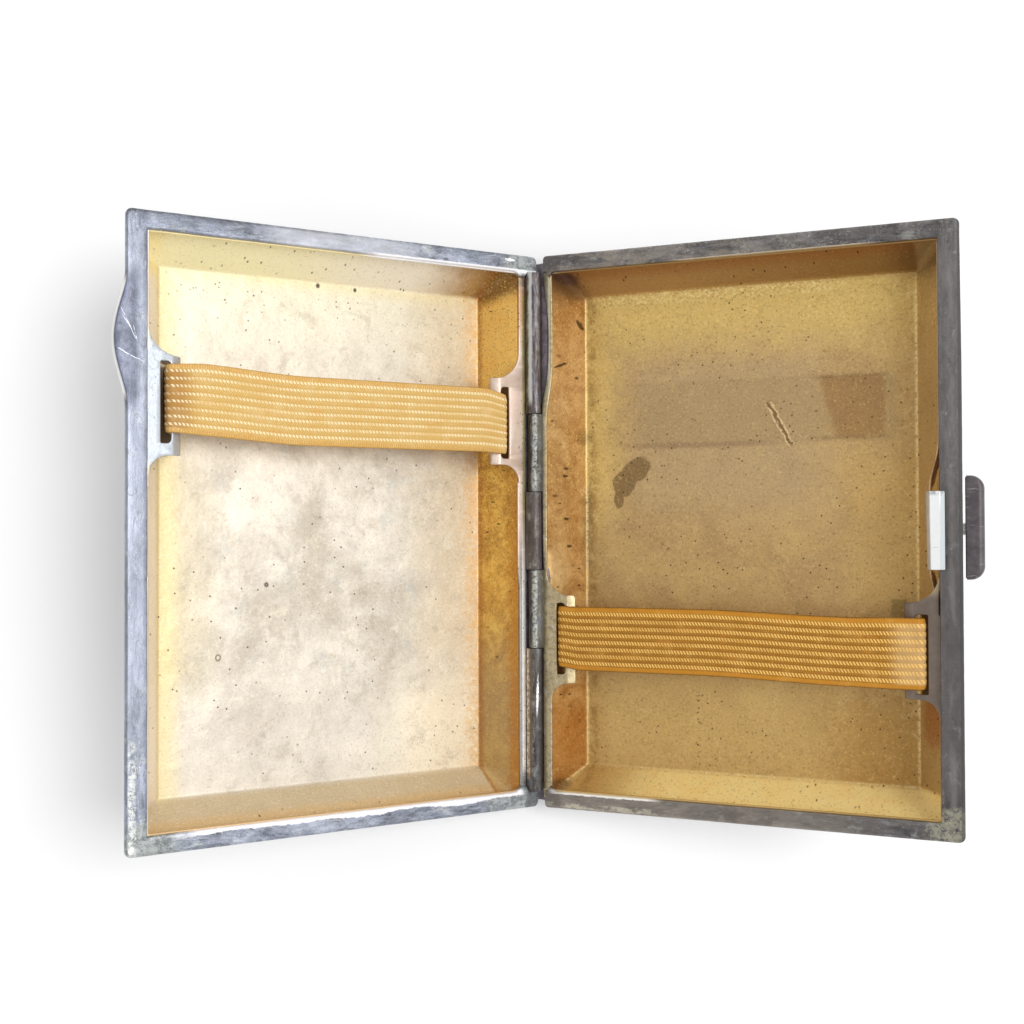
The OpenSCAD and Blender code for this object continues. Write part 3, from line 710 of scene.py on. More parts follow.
def catch_tongue(material):
    """Upright plate with the hooked nose, its edges broken and its back bevelled."""
    back, bevel = TONGUE_IN - 0.36, 0.55
    front, tip, top = TONGUE_IN + TONGUE_T, NOSE_TIP, NOSE_TOP
    outline = [(TONGUE_IN, -TONGUE_LOW), (front, -TONGUE_LOW), (front, NOSE_UNDER),
               (tip - 0.06, NOSE_UNDER), (tip, NOSE_UNDER + 0.06), (tip, NOSE_UNDER + 0.3),
               (tip - 0.06, NOSE_UNDER + 0.38), (tip - 0.5, top - 0.06), (tip - 0.6, top),
               (back + bevel + 0.08, top), (back + bevel, top - 0.03), (back + 0.04, top - 0.5),
               (back, top - 0.58), (back, -0.9), (TONGUE_IN, -1.15)]
    half, soft = TONGUE_LEN / 2, 0.1
    ends = half - soft * 0.3, half
    rings = []
    for w in [-ends[1], -ends[0], *spaced(-half + soft, half - soft, 0.8), *ends]:
        inset = max(0, soft - (half - abs(w)))
        inset = soft - math.sqrt(max(0, soft**2 - inset**2)) if inset else 0
        askew = 0.12 * (half - w) / TONGUE_LEN
        ring = []
        for u, n in outline:
            out = inset * np.sign(TONGUE_IN + 0.3 - u) + (askew if n > 0 and u < tip - 0.5 else 0)
            up = inset if n < NOSE_UNDER + 0.1 else -inset
            ring.append((u + out, w + TONGUE_AT, n + up))
        rings.append(ring)
    points, faces = sweep(rings)
    piece("catch_hook", BASE, points, faces, [material], sharp=25,
          node="catch_tongue", body="catch")


def leaf_u(w):
    """Outer face of the leaf spring: flat behind the tongue, then out to the wall at both ends."""
    flat = TONGUE_LEN / 2 + 0.2
    mid = TONGUE_IN - 0.02 - LEAF_T
    wall_in = SLOPE_OUTER - math.tan(LEAN_OUTER) * (DEPTH - LEAF_TOP - LEAF_H)
    end = REACH - wall_in - LEAF_T - 0.05
    t = max(0, (abs(w) - flat) / (LEAF_LEN / 2 - flat))
    return mid + (end - mid) * (1 - math.cos(math.pi * t)) / 2


def catch_spring(material):
    """The leaf spring in two halves, each bowed between the wall and the tongue."""
    for word, way in (("upper", 1), ("lower", -1)):
        rings = []
        for w in spaced(0, LEAF_LEN / 2, 0.35):
            u = leaf_u(w)
            taper = 0.25 * max(0, w - LEAF_LEN / 2 + 1.2)
            top, low, r = -LEAF_TOP - taper, -LEAF_TOP - LEAF_H + taper, 0.06
            out = u + 0.35 * ease(w, 5.4, 6.4) * ease(w, 11, 9)
            section = [(out, low + r), (out + r, low), (out + LEAF_T - r, low), (out + LEAF_T, low + r),
                       (u + LEAF_T, top - r), (u + LEAF_T - r, top), (u + r, top), (u, top - r)]
            rings.append([(a, way * w, n) for a, n in section])
        points, faces = sweep(rings)
        obj = piece(f"leaf_{word}", BASE, points, faces, [material], sharp=40)
        # This piece rides on no single body
        obj.parent = None
        del obj["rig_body"]
        tip = to_row(BASE, [(leaf_u(LEAF_LEN / 2), way * LEAF_LEN / 2, -LEAF_TOP)])[0]
        root = to_row(BASE, [(leaf_u(5), way * 5.0, -LEAF_TOP)])[0]
        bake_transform(obj)
        if way > 0:
            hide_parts("catch_spring")


# Materials

def rgb(code):
    """A linear colour from a screen colour such as #a0b0c0."""
    parts = [int(code[i:i + 2], 16) / 255 for i in (1, 3, 5)]
    return tuple(c / 12.92 if c <= 0.04045 else ((c + 0.055) / 1.055) ** 2.4 for c in parts) + (1.0,)


class Value:
    """An output of a node. Arithmetic with it makes math nodes; a | b is the greater of the two."""

    def __init__(self, nodes, socket):
        self.nodes, self.socket = nodes, socket

    def __abs__(self):
        return self.nodes.calc("ABSOLUTE", self)

    def ease(self, low, high):
        """Smooth step from 0 at low to 1 at high."""
        node = self.nodes.add("MapRange", (self, low, high, 0, 1), interpolation_type="SMOOTHSTEP")
        return Value(self.nodes, node.outputs[0])

    def bar(self, low, high, soft):
        """1 between low and high."""
        return self.ease(low - soft, low + soft) * self.ease(high + soft, high - soft)

    def fuzz(self, size, spread, seed, detail=5):
        """The value made uneven, for ragged borders."""
        return self + (self.nodes.noise(seed, size, detail, 0.7, 0.5) - 0.5) * spread

    def mix(self, amount, second):
        return self.nodes.mix(amount, self, second)


for sign, kind in (("add", "ADD"), ("sub", "SUBTRACT"), ("mul", "MULTIPLY"), ("truediv", "DIVIDE"),
                   ("or", "MAXIMUM")):
    setattr(Value, f"__{sign}__", lambda one, two, kind=kind: one.nodes.calc(kind, one, two))
    setattr(Value, f"__r{sign}__", lambda one, two, kind=kind: one.nodes.calc(kind, two, one))


class Nodes:
    """Adds nodes to a tree."""

    def __init__(self, tree):
        self.tree = tree

    def add(self, kind, inputs=(), **settings):
        """A new node; its inputs are a dict, or a tuple in order."""
        node = self.tree.nodes.new("ShaderNode" + kind)
        for key, value in settings.items():
            setattr(node, key, value)
        for key, value in inputs.items() if isinstance(inputs, dict) else enumerate(inputs):
            self.put(node.inputs[key], value)
        return node

    def put(self, socket, value):
        if isinstance(value, Value):
            value = value.socket
        if isinstance(value, bpy.types.NodeSocket):
            self.tree.links.new(value, socket)
        else:
            socket.default_value = rgb(value) if isinstance(value, str) else value

    def calc(self, operation, *values):
        return Value(self, self.add("Math", values, operation=operation).outputs[0])

    def parts(self, vector):
        return [Value(self, socket) for socket in self.add("SeparateXYZ", (vector,)).outputs]


class Paint(Nodes):
    """Builds one material. Its textures are in the half frame's millimetres."""

    COLOUR_A, COLOUR_B, COLOUR_OUT = 6, 7, 2

    def __init__(self, name, metallic=0.0, half=True):
        self.material = bpy.data.materials.new(name)
        self.material.use_nodes = True
        super().__init__(self.material.node_tree)
        self.shader = self.tree.nodes["Principled BSDF"]
        self.shader.inputs["Metallic"].default_value = metallic
        self.shader.inputs["IOR"].default_value = 1.45
        self.colour = None
        if half:
            self.where = self.add("Attribute", attribute_name="half").outputs["Vector"]
        else:
            place = self.add("TexCoord").outputs["Object"]
            self.where = self.add("VectorMath", {0: place, "Scale": 1 / MM}, operation="SCALE").outputs[0]
        self.u, self.w, self.n = self.parts(self.where)

    def stretch(self, su, sw, turn=0):
        """The half frame's coordinates, scaled and turned, for a texture that runs one way."""
        inputs = {"Vector": self.where, "Scale": (su, sw, 1), "Rotation": (0, 0, math.radians(turn))}
        return self.add("Mapping", inputs).outputs[0]

    def moved(self, vector, seed):
        """Coordinates moved by a seed, so that each texture differs."""
        place = self.where if vector is None else vector
        shift = (seed * 17.3, seed * -11.7, seed * 0.37)
        return self.add("VectorMath", (place, shift), operation="ADD").outputs[0]

    def noise(self, seed, size, detail=3, rough=0.55, warp=0, vector=None):
        """Noise about 0.5 with features of the given size in millimetres."""
        inputs = {"Vector": self.moved(vector, seed), "Scale": 1 / size, "Detail": detail,
                  "Roughness": rough, "Distortion": warp}
        return Value(self, self.add("TexNoise", inputs, noise_dimensions="3D").outputs["Fac"])

    def specks(self, size, share, seed, vector=None):
        """1 in scattered specks, about size apart and fewer where a broad noise is low."""
        cells = self.add("TexVoronoi", {"Vector": self.moved(vector, seed), "Scale": 1 / size},
                         voronoi_dimensions="2D", feature="F1")
        few = self.noise(seed + 0.5, size * 3, 2).ease(0.42, 0.60)
        return Value(self, cells.outputs["Distance"]).ease(share, share * 0.5) * few

    def mix(self, amount, first, second):
        inputs = {"Factor": amount, self.COLOUR_A: first, self.COLOUR_B: second}
        return Value(self, self.add("Mix", inputs, data_type="RGBA").outputs[self.COLOUR_OUT])

    def lay(self, amount, tone):
        """Lays a tone over the colour so far."""
        self.colour = self.mix(amount, self.colour, tone)

    def ramp(self, value, stops):
        node = self.add("ValToRGB", (value,))
        elements = node.color_ramp.elements
        while len(elements) < len(stops):
            elements.new(0.5)
        for element, (place, tone) in zip(elements, stops):
            element.position, element.color = place, rgb(tone)
        return Value(self, node.outputs[0])

    def about(self, u, w, turn):
        """Lengths along and across a line through (u, w) that is turned by some degrees."""
        c, s = math.cos(math.radians(turn)), math.sin(math.radians(turn))
        du, dw = self.u - u, self.w - w
        return du * c + dw * s, du * -s + dw * c

    def spot(self, u, w, ru, rw, turn=0, soft=0.25, ragged=0, size=1.5, seed=0):
        """1 inside an ellipse on the half, 0 outside; ragged makes its edge uneven."""
        along, across = self.about(u, w, turn)
        a, b = along / ru, across / rw
        far = self.calc("SQRT", a * a + b * b)
        if ragged:
            far = far + (self.noise(seed, size) - 0.5) * ragged
        return far.ease(1 + soft, 1 - soft)

    def scratch(self, u, w, length, turn, width, seed, waver=0.3):
        """1 on a thin, broken, wavering line centred at (u, w)."""
        along, across = self.about(u, w, turn)
        line = abs(across.fuzz(1.6, waver, seed, 2)).ease(width, width * 0.3)
        broken = self.noise(seed + 0.3, 0.45, 3, 0.7).ease(0.36, 0.48)
        return line * abs(along).ease(length / 2, length / 2 - 0.5) * broken

    def relief(self, height, distance, strength, under=None):
        """A bump map, on top of another if there is one under it."""
        inputs = {"Strength": strength, "Distance": distance * MM, "Height": height}
        return self.add("Bump", inputs if under is None else {**inputs, "Normal": under}).outputs[0]

    def done(self, rough, normal, metallic=None):
        """The material, with the colour that has been laid."""
        made = {"Base Color": self.colour, "Roughness": rough, "Normal": normal, "Metallic": metallic}
        for name, value in made.items():
            if value is not None:
                self.put(self.shader.inputs[name], value)
        return self.material


def lid_gilt():
    """Worn pale gilding, painted paler than the base's partly as painted light: near white where rubbed,
    greyed in the middle, yellow to orange by the walls.
    """
    p = Paint("lid_gilding", metallic=0.5)
    u, w = p.u, p.w
    cloud = p.noise(1, 9, 6, 0.68, 0.4)
    patch = p.noise(11, 3, 7, 0.75, 0.4)
    grain = p.noise(2, 0.3, 3, 0.7)
    u_soft, w_soft = u.fuzz(4, 7, 12), w.fuzz(4, 7, 13)
    p.colour = p.ramp(cloud, [(0.3, "#d6cbbd"), (0.5, "#e1d8c9"), (0.7, "#eee5d5")])
    p.lay(w_soft.ease(18, 34) * 0.6, "#efe6c9")
    p.lay(u_soft.ease(22, 8) * w_soft.ease(-26, -14) * 0.55, "#d6c4a4")
    p.lay(u_soft.ease(26, 14) * w_soft.ease(-18, -28) * 0.8, "#fff2d6")
    p.lay(u_soft.ease(44, 52) * w_soft.bar(-22, 11, 5) * 0.75, "#cfc1a0")
    p.lay(u_soft.ease(20, 10) * 0.3, "#e2c492")
    greyed = u_soft.bar(14, 47, 7) * w_soft.bar(-24, 16, 8)
    p.lay(greyed * cloud.ease(0.62, 0.35) * 0.75, "#c2b7a4")
    p.lay(patch.ease(0.52, 0.68) * 0.38, "#a99c86")
    p.lay(patch.ease(0.46, 0.3) * 0.45, "#f3ead3")
    cool = p.noise(14, 5, 6, 0.72, 0.4).ease(0.54, 0.7)
    p.lay(cool * greyed * 0.5, "#bcbfbd")
    yellow = u.fuzz(3, 2.5, 15).ease(50.5, 54) | w.fuzz(3, 3, 16).ease(33, 37)
    p.lay(yellow * 0.62, "#f3e0a0")
    orange = u.fuzz(1.6, 6, 17).ease(9.2, 5.2) * p.noise(18, 0.8, 4, 0.7).ease(0.36, 0.56)
    p.lay(orange * 0.8, "#e4b878")
    # The top wall is painted pale, partly as painted light.
    top = w.ease(35.4, 36.4)
    top_colour = p.mix(u.fuzz(6, 10, 19).ease(44, 18), "#fff6c4", "#fdf4df")
    top_colour = top_colour.mix(u.fuzz(3, 5, 20).ease(18, 6), "#b2874a")
    p.lay(top, top_colour)
    far = u.ease(54.6, 55.6)
    far_colour = p.mix(p.noise(31, 4, 3), "#ede2d8", "#fdf4e6")
    far_colour = far_colour.mix(w.ease(33, 36), "#fff0b4")
    p.lay(far * 0.9, far_colour)
    low = w.ease(-35.6, -36.6)
    low_colour = p.mix(p.noise(32, 5, 5, 0.7, 0.8), "#c2ac86", "#dbc8a4")
    low_colour = low_colour.mix(w.ease(-37.8, -38.9) * 0.55, "#dcb06c")
    p.lay(low, low_colour)
    hinge_wall = u.fuzz(0.8, 0.5, 33).ease(5.7, 5.2)
    gold = p.ramp(p.noise(34, 5, 4, 0.7, 1).fuzz(0.8, 0.5, 35),
                  [(0.34, "#b98a40"), (0.5, "#dda850"), (0.68, "#fad068")])
    gold = gold.mix(w.ease(12, 19) * 0.85, p.mix(p.noise(121, 3, 5, 0.7), "#f7bb55", "#ffde8c"))
    gold = gold.mix(w.ease(-8, -26) * 0.7, "#ac936e")
    gold = gold.mix(u.fuzz(1.5, 2, 36).ease(3.4, 2.5) * w.ease(18, -2) * 0.7, "#c07a20")
    # Painted shade: dark brown in the upper hinge-side corner, on the hinge wall and the top wall.
    corner = (p.spot(3, 38.6, 3.4, 2.6, 0, 0.5, 0.6, 2, 37)
              | p.spot(4.6, 36.8, 1.5, 2.2, 40, 0.5, 0.5, 2, 38))
    gold = gold.mix(corner * 0.75, "#6e4216")
    p.lay(hinge_wall, gold)
    p.lay(corner * top * 0.6, "#7d5222")
    # Painted shade: a darker line along the hinge-side crease.
    crease = u.fuzz(0.8, 0.35, 39).bar(5, 5.5, 0.2)
    p.lay(crease * 0.6, "#a9682c")
    strong = 0.35 + hinge_wall * w.ease(-14, 8) * 0.5
    p.lay(grain.ease(0.54, 0.7) * strong, p.mix(hinge_wall, "#fffaf0", "#ffdf7a"))
    p.lay(grain.ease(0.46, 0.28) * strong, p.mix(hinge_wall, "#a08f76", "#7a4a12"))
    dots = p.specks(2.3, 0.07, 40) * w.ease(24, 36) | p.specks(3.4, 0.05, 41)
    p.lay(dots * 0.85, "#3d2f1c")
    big = p.spot(31.7, 35.4, 0.3, 0.35, 0, 0.4) | p.spot(25.9, 35.3, 0.25, 0.3, 0, 0.4)
    p.lay(big * 0.9, "#32271a")
    ticks = p.specks(2.4, 0.06, 42, vector=p.stretch(3.6, 0.75, turn=8)) * u.ease(44, 20)
    p.lay(ticks * 0.65, "#5c4a34")
    faint = p.specks(0.9, 0.1, 43)
    p.lay(faint * 0.25, "#8b7a60")
    haze = p.spot(39.4, -7.5, 1.6, 1.3, soft=0.9)
    p.lay(haze * 0.22, "#8d7f70")
    ring = p.spot(39.4, -7.5, 0.34, 0.34, soft=0.35) - p.spot(39.4, -7.5, 0.12, 0.12, soft=0.6) * 0.4
    p.lay(ring * 0.9, "#4a3f33")
    ring = p.spot(46.4, -17.4, 0.42, 0.5, soft=0.25) - p.spot(46.4, -17.4, 0.22, 0.27, soft=0.3)
    p.lay(ring * 0.75, "#5d4a30")
    # Painted shade: dark brown on the tray behind both loops and at the outer slot's ends, where the
    # slots look down into shadow.
    under = w.bar(10.3, 22.5, 0.5) * (u.ease(4.6, 4) | u.ease(53.2, 53.6))
    under = under | (p.spot(53.6, 23, 0.9, 0.5) | p.spot(53.6, 12.6, 0.9, 0.95))
    p.lay(under * 0.92, "#35170c")
    rough = grain * 0.25 + cloud * 0.1 + 0.24
    bumps = p.relief(grain, 0.025, 0.55)
    bumps = p.relief(p.noise(44, 5, 3, 0.5), 0.3, 0.6, under=bumps)
    return p.done(rough, bumps, 0.5 - (top | low) * 0.45)


def base_gilt():
    """Ochre gilding, painted darker than the lid's partly as painted shade, with grain, a water stain,
    the ghost of a strap and a gouge.
    """
    p = Paint("base_gilding", metallic=0.5)
    u, w = p.u, p.w
    cloud = p.noise(21, 8, 5, 0.65, 0.8)
    patch = p.noise(48, 2.6, 7, 0.72, 1)
    grain = p.noise(22, 0.36, 3, 0.75)
    u_soft, w_soft = u.fuzz(4, 7, 49), w.fuzz(4, 7, 50)
    p.colour = p.ramp(cloud, [(0.32, "#b99865"), (0.5, "#c6a36b"), (0.7, "#d2b072")])
    drab = u_soft.bar(12, 42, 5) * w_soft.bar(2, 28, 5)
    p.lay(drab * 0.55, "#bfa47e")
    lemon = w_soft.ease(23, 33) | u_soft.ease(13, 6) * w_soft.ease(-4, 10)
    p.lay(lemon * 0.7, "#efcd78")
    p.lay(w_soft.ease(-16, -30) * 0.5, "#d6b166")
    p.lay(u_soft.ease(38, 48) * w_soft.ease(-20, -28) * 0.75, "#b0823f")
    p.lay(patch.ease(0.54, 0.7) * 0.35, "#9a7a4c")
    p.lay(patch.ease(0.46, 0.32) * 0.3, "#e4c98c")
    p.lay(u_soft.ease(42, 50) * w_soft.bar(-12, 10, 5) * 0.5, "#d9b066")
    fade = u.ease(54, 50) * u.ease(6, 9)
    edge = 1 - fade
    p.lay(edge * patch.ease(0.3, 0.6) * 0.45, "#bb9048")
    band = w.fuzz(2, 0.8, 51).bar(12.6, 22.4, 0.5) * u.ease(9, 16) * u.ease(52.4, 51)
    p.lay(band * 0.3, "#a0875f")
    line = w.fuzz(2, 0.7, 52).bar(12.3, 13.2, 0.3) * u.ease(10, 16) * u.ease(36, 30)
    p.lay(line * 0.45, "#8f7158")
    left = 41.2 + w.ease(22, 13) * 2 + (patch - 0.5) * 3
    inside = (u - left).ease(-0.5, 0.7) * u.fuzz(1.5, 0.8, 53).ease(50.7, 49.7)
    block = w.fuzz(1.5, 0.6, 54).bar(13.3, 22, 0.6) * inside
    p.lay(block * 0.55, p.mix(p.noise(55, 2.5, 3), "#a2763f", "#94623a"))
    rules = w.fuzz(2, 0.5, 56).bar(21.7, 22.2, 0.25) | w.fuzz(2, 0.5, 57).bar(13, 13.5, 0.25)
    p.lay(rules * u.bar(40, 50.5, 0.7) * patch.ease(0.35, 0.6) * 0.45, "#6f4d2c")
    stain = (p.spot(13.4, 9.2, 2.6, 1.7, 35, 0.1, 0.55, 1.6, 1)
             | p.spot(11.5, 7.2, 1.8, 1.9, 0, 0.1, 0.5, 1.4, 2))
    stain = stain | p.spot(10.6, 4.9, 0.8, 1.5, 0, 0.12, 0.5, 1, 3)
    blot = p.mix(p.noise(58, 1.6, 5, 0.7), "#6b5230", "#9a7c50")
    p.lay(stain * 0.85, blot)
    seep = p.spot(5.6, 0.2, 0.8, 6.8, 0, 0.25, 0.8, 1.6, 4) * p.noise(59, 1.5, 4).ease(0.3, 0.6)
    seep = seep | p.spot(5, 14.3, 0.75, 1.2, 0, 0.3, 0.5, 1, 5)
    p.lay(seep * 0.6, "#78633c")
    hinge_wall = u.fuzz(0.8, 0.3, 45).ease(5.5, 5)
    copper = p.ramp(p.noise(23, 6, 4, 0.7, 1).fuzz(1, 0.4, 46),
                    [(0.32, "#a97840"), (0.5, "#c39a60"), (0.68, "#d9b57c")])
    copper = copper.mix(w_soft.bar(17, 30, 4) * 0.25, "#e4c292")
    copper = copper.mix(w.ease(-20, -30) * 0.55, "#b27122")
    copper = copper.mix(w_soft.ease(28, 38) * 0.5, "#9c6430")
    copper = copper.mix(seep * 0.5, "#8b6c3c")
    p.lay(hinge_wall, copper)
    # The top wall is painted darker, partly as painted shade.
    top = w.ease(35.5, 36.5)
    top_colour = p.mix(u.ease(12, 55).fuzz(4, 0.5, 47), "#b08a56", "#8f6b38")
    top_colour = top_colour.mix(w.ease(37.6, 38.9) * 0.5, "#9a5f2c")
    p.lay(top, top_colour)
    far = u.ease(54.5, 55.4)
    p.lay(far * 0.85, p.mix(p.noise(60, 4, 4, 0.7), "#ae8f5c", "#ccb078"))
    p.lay(far * p.spot(56.6, -26, 1.4, 4, 0, 0.5, 0.6, 2, 61) * 0.7, "#a5642c")
    slant = u - w
    # The bottom wall is painted bright, partly as painted light.
    low = w.ease(-35.6, -36.5) * slant.ease(41, 41.6)
    low_colour = p.mix(p.noise(62, 4, 6, 0.72, 0.5), "#f8cd78", "#fff1ac")
    low_colour = low_colour.mix(u.ease(19, 6) * 0.8, "#b0833f")
    p.lay(low, low_colour)
    # Painted shade: dark brown in the tray's corners under the rim.
    corners = (p.spot(3.6, 37.8, 2.2, 1.6, -50, 0.6, 0.6, 2, 63)
               | p.spot(2.6, -38.4, 1.4, 1, 0, 0.5, 0.6, 1, 64))
    corners = corners | p.spot(57, 38, 5, 2.4, 0, 0.6, 0.6, 2, 65) * 0.7
    p.lay(corners * 0.7, "#512c0e")
    # Painted highlight: a pale broken line along the floor's creases and the lower mitre.
    crease = u.bar(5.4, 5.65, 0.12) | u.bar(54.35, 54.7, 0.2)
    crease = crease * w.bar(-35.5, 35, 1) * p.noise(66, 0.5, 3, 0.7).ease(0.4, 0.52)
    crease = crease | w.bar(-36.2, -35.9, 0.12) * p.noise(67, 0.5, 3, 0.7).ease(0.5, 0.64)
    mitre = slant.bar(41.15, 41.55, 0.15) * w.ease(-35.6, -36) * w.ease(-38.4, -37.6)
    crease = crease | mitre * p.noise(124, 0.5, 3, 0.7).ease(0.36, 0.5)
    p.lay(crease * 0.5, "#ffe9ae")
    # Painted shade: a dark purple spot in the upper hinge-side corner, under the rim.
    shady = p.spot(3.9, 38.4, 1.7, 0.8, 0, 0.4, 0.6, 1, 125)
    p.lay(shady * 0.6, "#35222b")
    beside = u.fuzz(1.2, 0.8, 68).bar(5.9, 7, 0.4) * patch.ease(0.4, 0.6)
    p.lay(beside * 0.45, "#8b6830")
    # Painted shadow: a dark olive patch on the tray beside the outer loop, as cast by its arm.
    loop_arm_shadow = u.fuzz(1, 0.3, 122).bar(50.9, 53, 0.15) * w.fuzz(1, 0.3, 123).bar(-12.4, -9.8, 0.2)
    p.lay(loop_arm_shadow * 0.5, "#6e6430")
    scar = (u - 35.4) * 0.88 + (w - 15.5) * 0.47
    scar = scar.fuzz(1.1, 1, 69, 3)
    length = p.spot(35.4, 15.5, 1.6, 3.6, 28, 0.12)
    cut = scar.bar(-0.22, 0.12, 0.14) * length
    burr = (scar.bar(0.2, 0.4, 0.12) | scar.bar(-0.5, -0.34, 0.1)) * length * grain.ease(0.36, 0.5)
    strength = grain.ease(0.54, 0.72) * (1 - top * 0.75)
    p.lay(strength * 0.62 * (0.55 + lemon * 0.45), "#ffe69a")
    # Painted highlight: bright grains along the top wall's foot.
    foot = w.fuzz(1, 0.8, 126).bar(34.4, 36, 0.4) * u.fuzz(4, 8, 127).bar(7, 44, 3)
    p.lay(foot * grain.ease(0.48, 0.62) * 0.5, "#ffefae")
    p.lay(grain.ease(0.46, 0.28) * 0.55, "#7c5624")
    p.lay(cut * 0.75, "#6b4a22")
    p.lay(burr * 0.75, "#f3dca4")
    row = (u.fuzz(1.2, 1.4, 70).bar(22.7, 23.2, 0.25) * w.bar(-35, -22.5, 0.6)
           * p.noise(71, 0.55, 2).ease(0.58, 0.64))
    dots = p.specks(2.4, 0.07, 27) | (row | p.specks(3, 0.1, 72) * u.ease(4.9, 4.4))
    p.lay(dots * 0.85, "#33200e")
    ticks = p.specks(2.6, 0.06, 29, vector=p.stretch(3.6, 0.75, turn=-8))
    p.lay(ticks * 0.6, "#4a3216")
    marks = (p.spot(4.8, 31.7, 0.22, 0.75, 20, 0.3, 1.1, 0.5, 73)
             | p.spot(3.1, 25.2, 0.16, 0.8, -45, 0.3, 1.4, 0.4, 74))
    p.lay(marks * 0.85, "#35200e")
    # Painted shade: dark brown on the tray behind both loops, where the slots look down into shadow.
    under = w.bar(-23.2, -10.7, 0.4) * (u.ease(3.6, 3.1) | u.ease(54.7, 55.2))
    p.lay(under * 0.92, "#2e150a")
    rough = grain * 0.25 + cloud * 0.08 + 0.28 + stain * 0.1
    bumps = p.relief(grain + cut * -1.5 + burr * 0.8, 0.04, 0.8)
    bumps = p.relief(p.noise(30, 6, 3, 0.5), 0.3, 0.6, under=bumps)
    return p.done(rough, bumps, 0.5 - low * 0.35)


def tarnish(p, dark, middle, light, seed, bright=0.5, crust=0.5, flow=None):
    """Dull silver: blotches, cloudy rubbed places, crusts, flecks, nicks and hairline scratches.

    With flow, a mask, they run along u where it is 0 and along w where it is 1.
    """

    def field(size, detail, rough, warp, key):
        if flow is None:
            return p.noise(seed + key, size, detail, rough, warp)
        along_u = p.noise(seed + key, size * 0.8, detail, rough, warp, vector=p.stretch(0.32, 1))
        along_w = p.noise(seed + key, size * 0.8, detail, rough, warp, vector=p.stretch(1, 0.32))
        return along_w * flow + along_u * (1 - flow)
    broad = field(4, 6, 0.7, 0.6, 0)
    fine = field(0.8, 6, 0.75, 0.4, 1)
    grain = p.noise(seed + 8, 0.22, 3, 0.7)
    tone = broad * 0.5 + fine * 0.33 + grain * 0.17
    p.colour = p.ramp(tone, [(0.4, dark), (0.5, middle), (0.6, light)])
    blue = p.noise(seed + 2, 3, 4, 0.6).ease(0.5, 0.66)
    p.lay(blue * (bright * 0.5), "#8790a6")
    rubbed = field(1.6, 7, 0.75, 0.7, 3).ease(0.55, 0.66)
    p.lay(rubbed * bright, "#c4c6ca")
    soot = field(1.4, 6, 0.75, 0.6, 5).ease(0.44, 0.34)
    p.lay(soot * 0.65, "#35322f")
    scab = p.noise(seed + 9, 2.6, 4, 0.6, 0.6).ease(0.6, 0.66) * fine.ease(0.42, 0.55)
    p.lay(scab * crust, "#d5d6cc")
    for turn, key in ((12, 4), (78, 10)):
        hair = p.noise(seed + key, 0.7, 3, 0.7, vector=p.stretch(0.25, 6, turn=turn)).ease(0.67, 0.72)
        p.lay(hair * 0.3, "#e2e3e6")
    p.lay(p.specks(1.3, 0.07, seed + 11) * 0.7, "#2b2725")
    p.lay(p.specks(2.2, 0.05, seed + 12) * bright, "#f2f3f4")
    rough = fine * 0.3 + 0.24
    bumps = p.relief(fine * 0.7 + grain * 0.3 + scab * 0.4, 0.05, 0.7)
    return rough, p.relief(broad, 0.12, 0.5, under=bumps)


def outside_silver():
    """Plain worn silver for the outsides."""
    p = Paint("outside_silver", metallic=0.8)
    return p.done(*tarnish(p, "#737173", "#8d8c90", "#a7a8ad", 60, 0.25, 0.1))


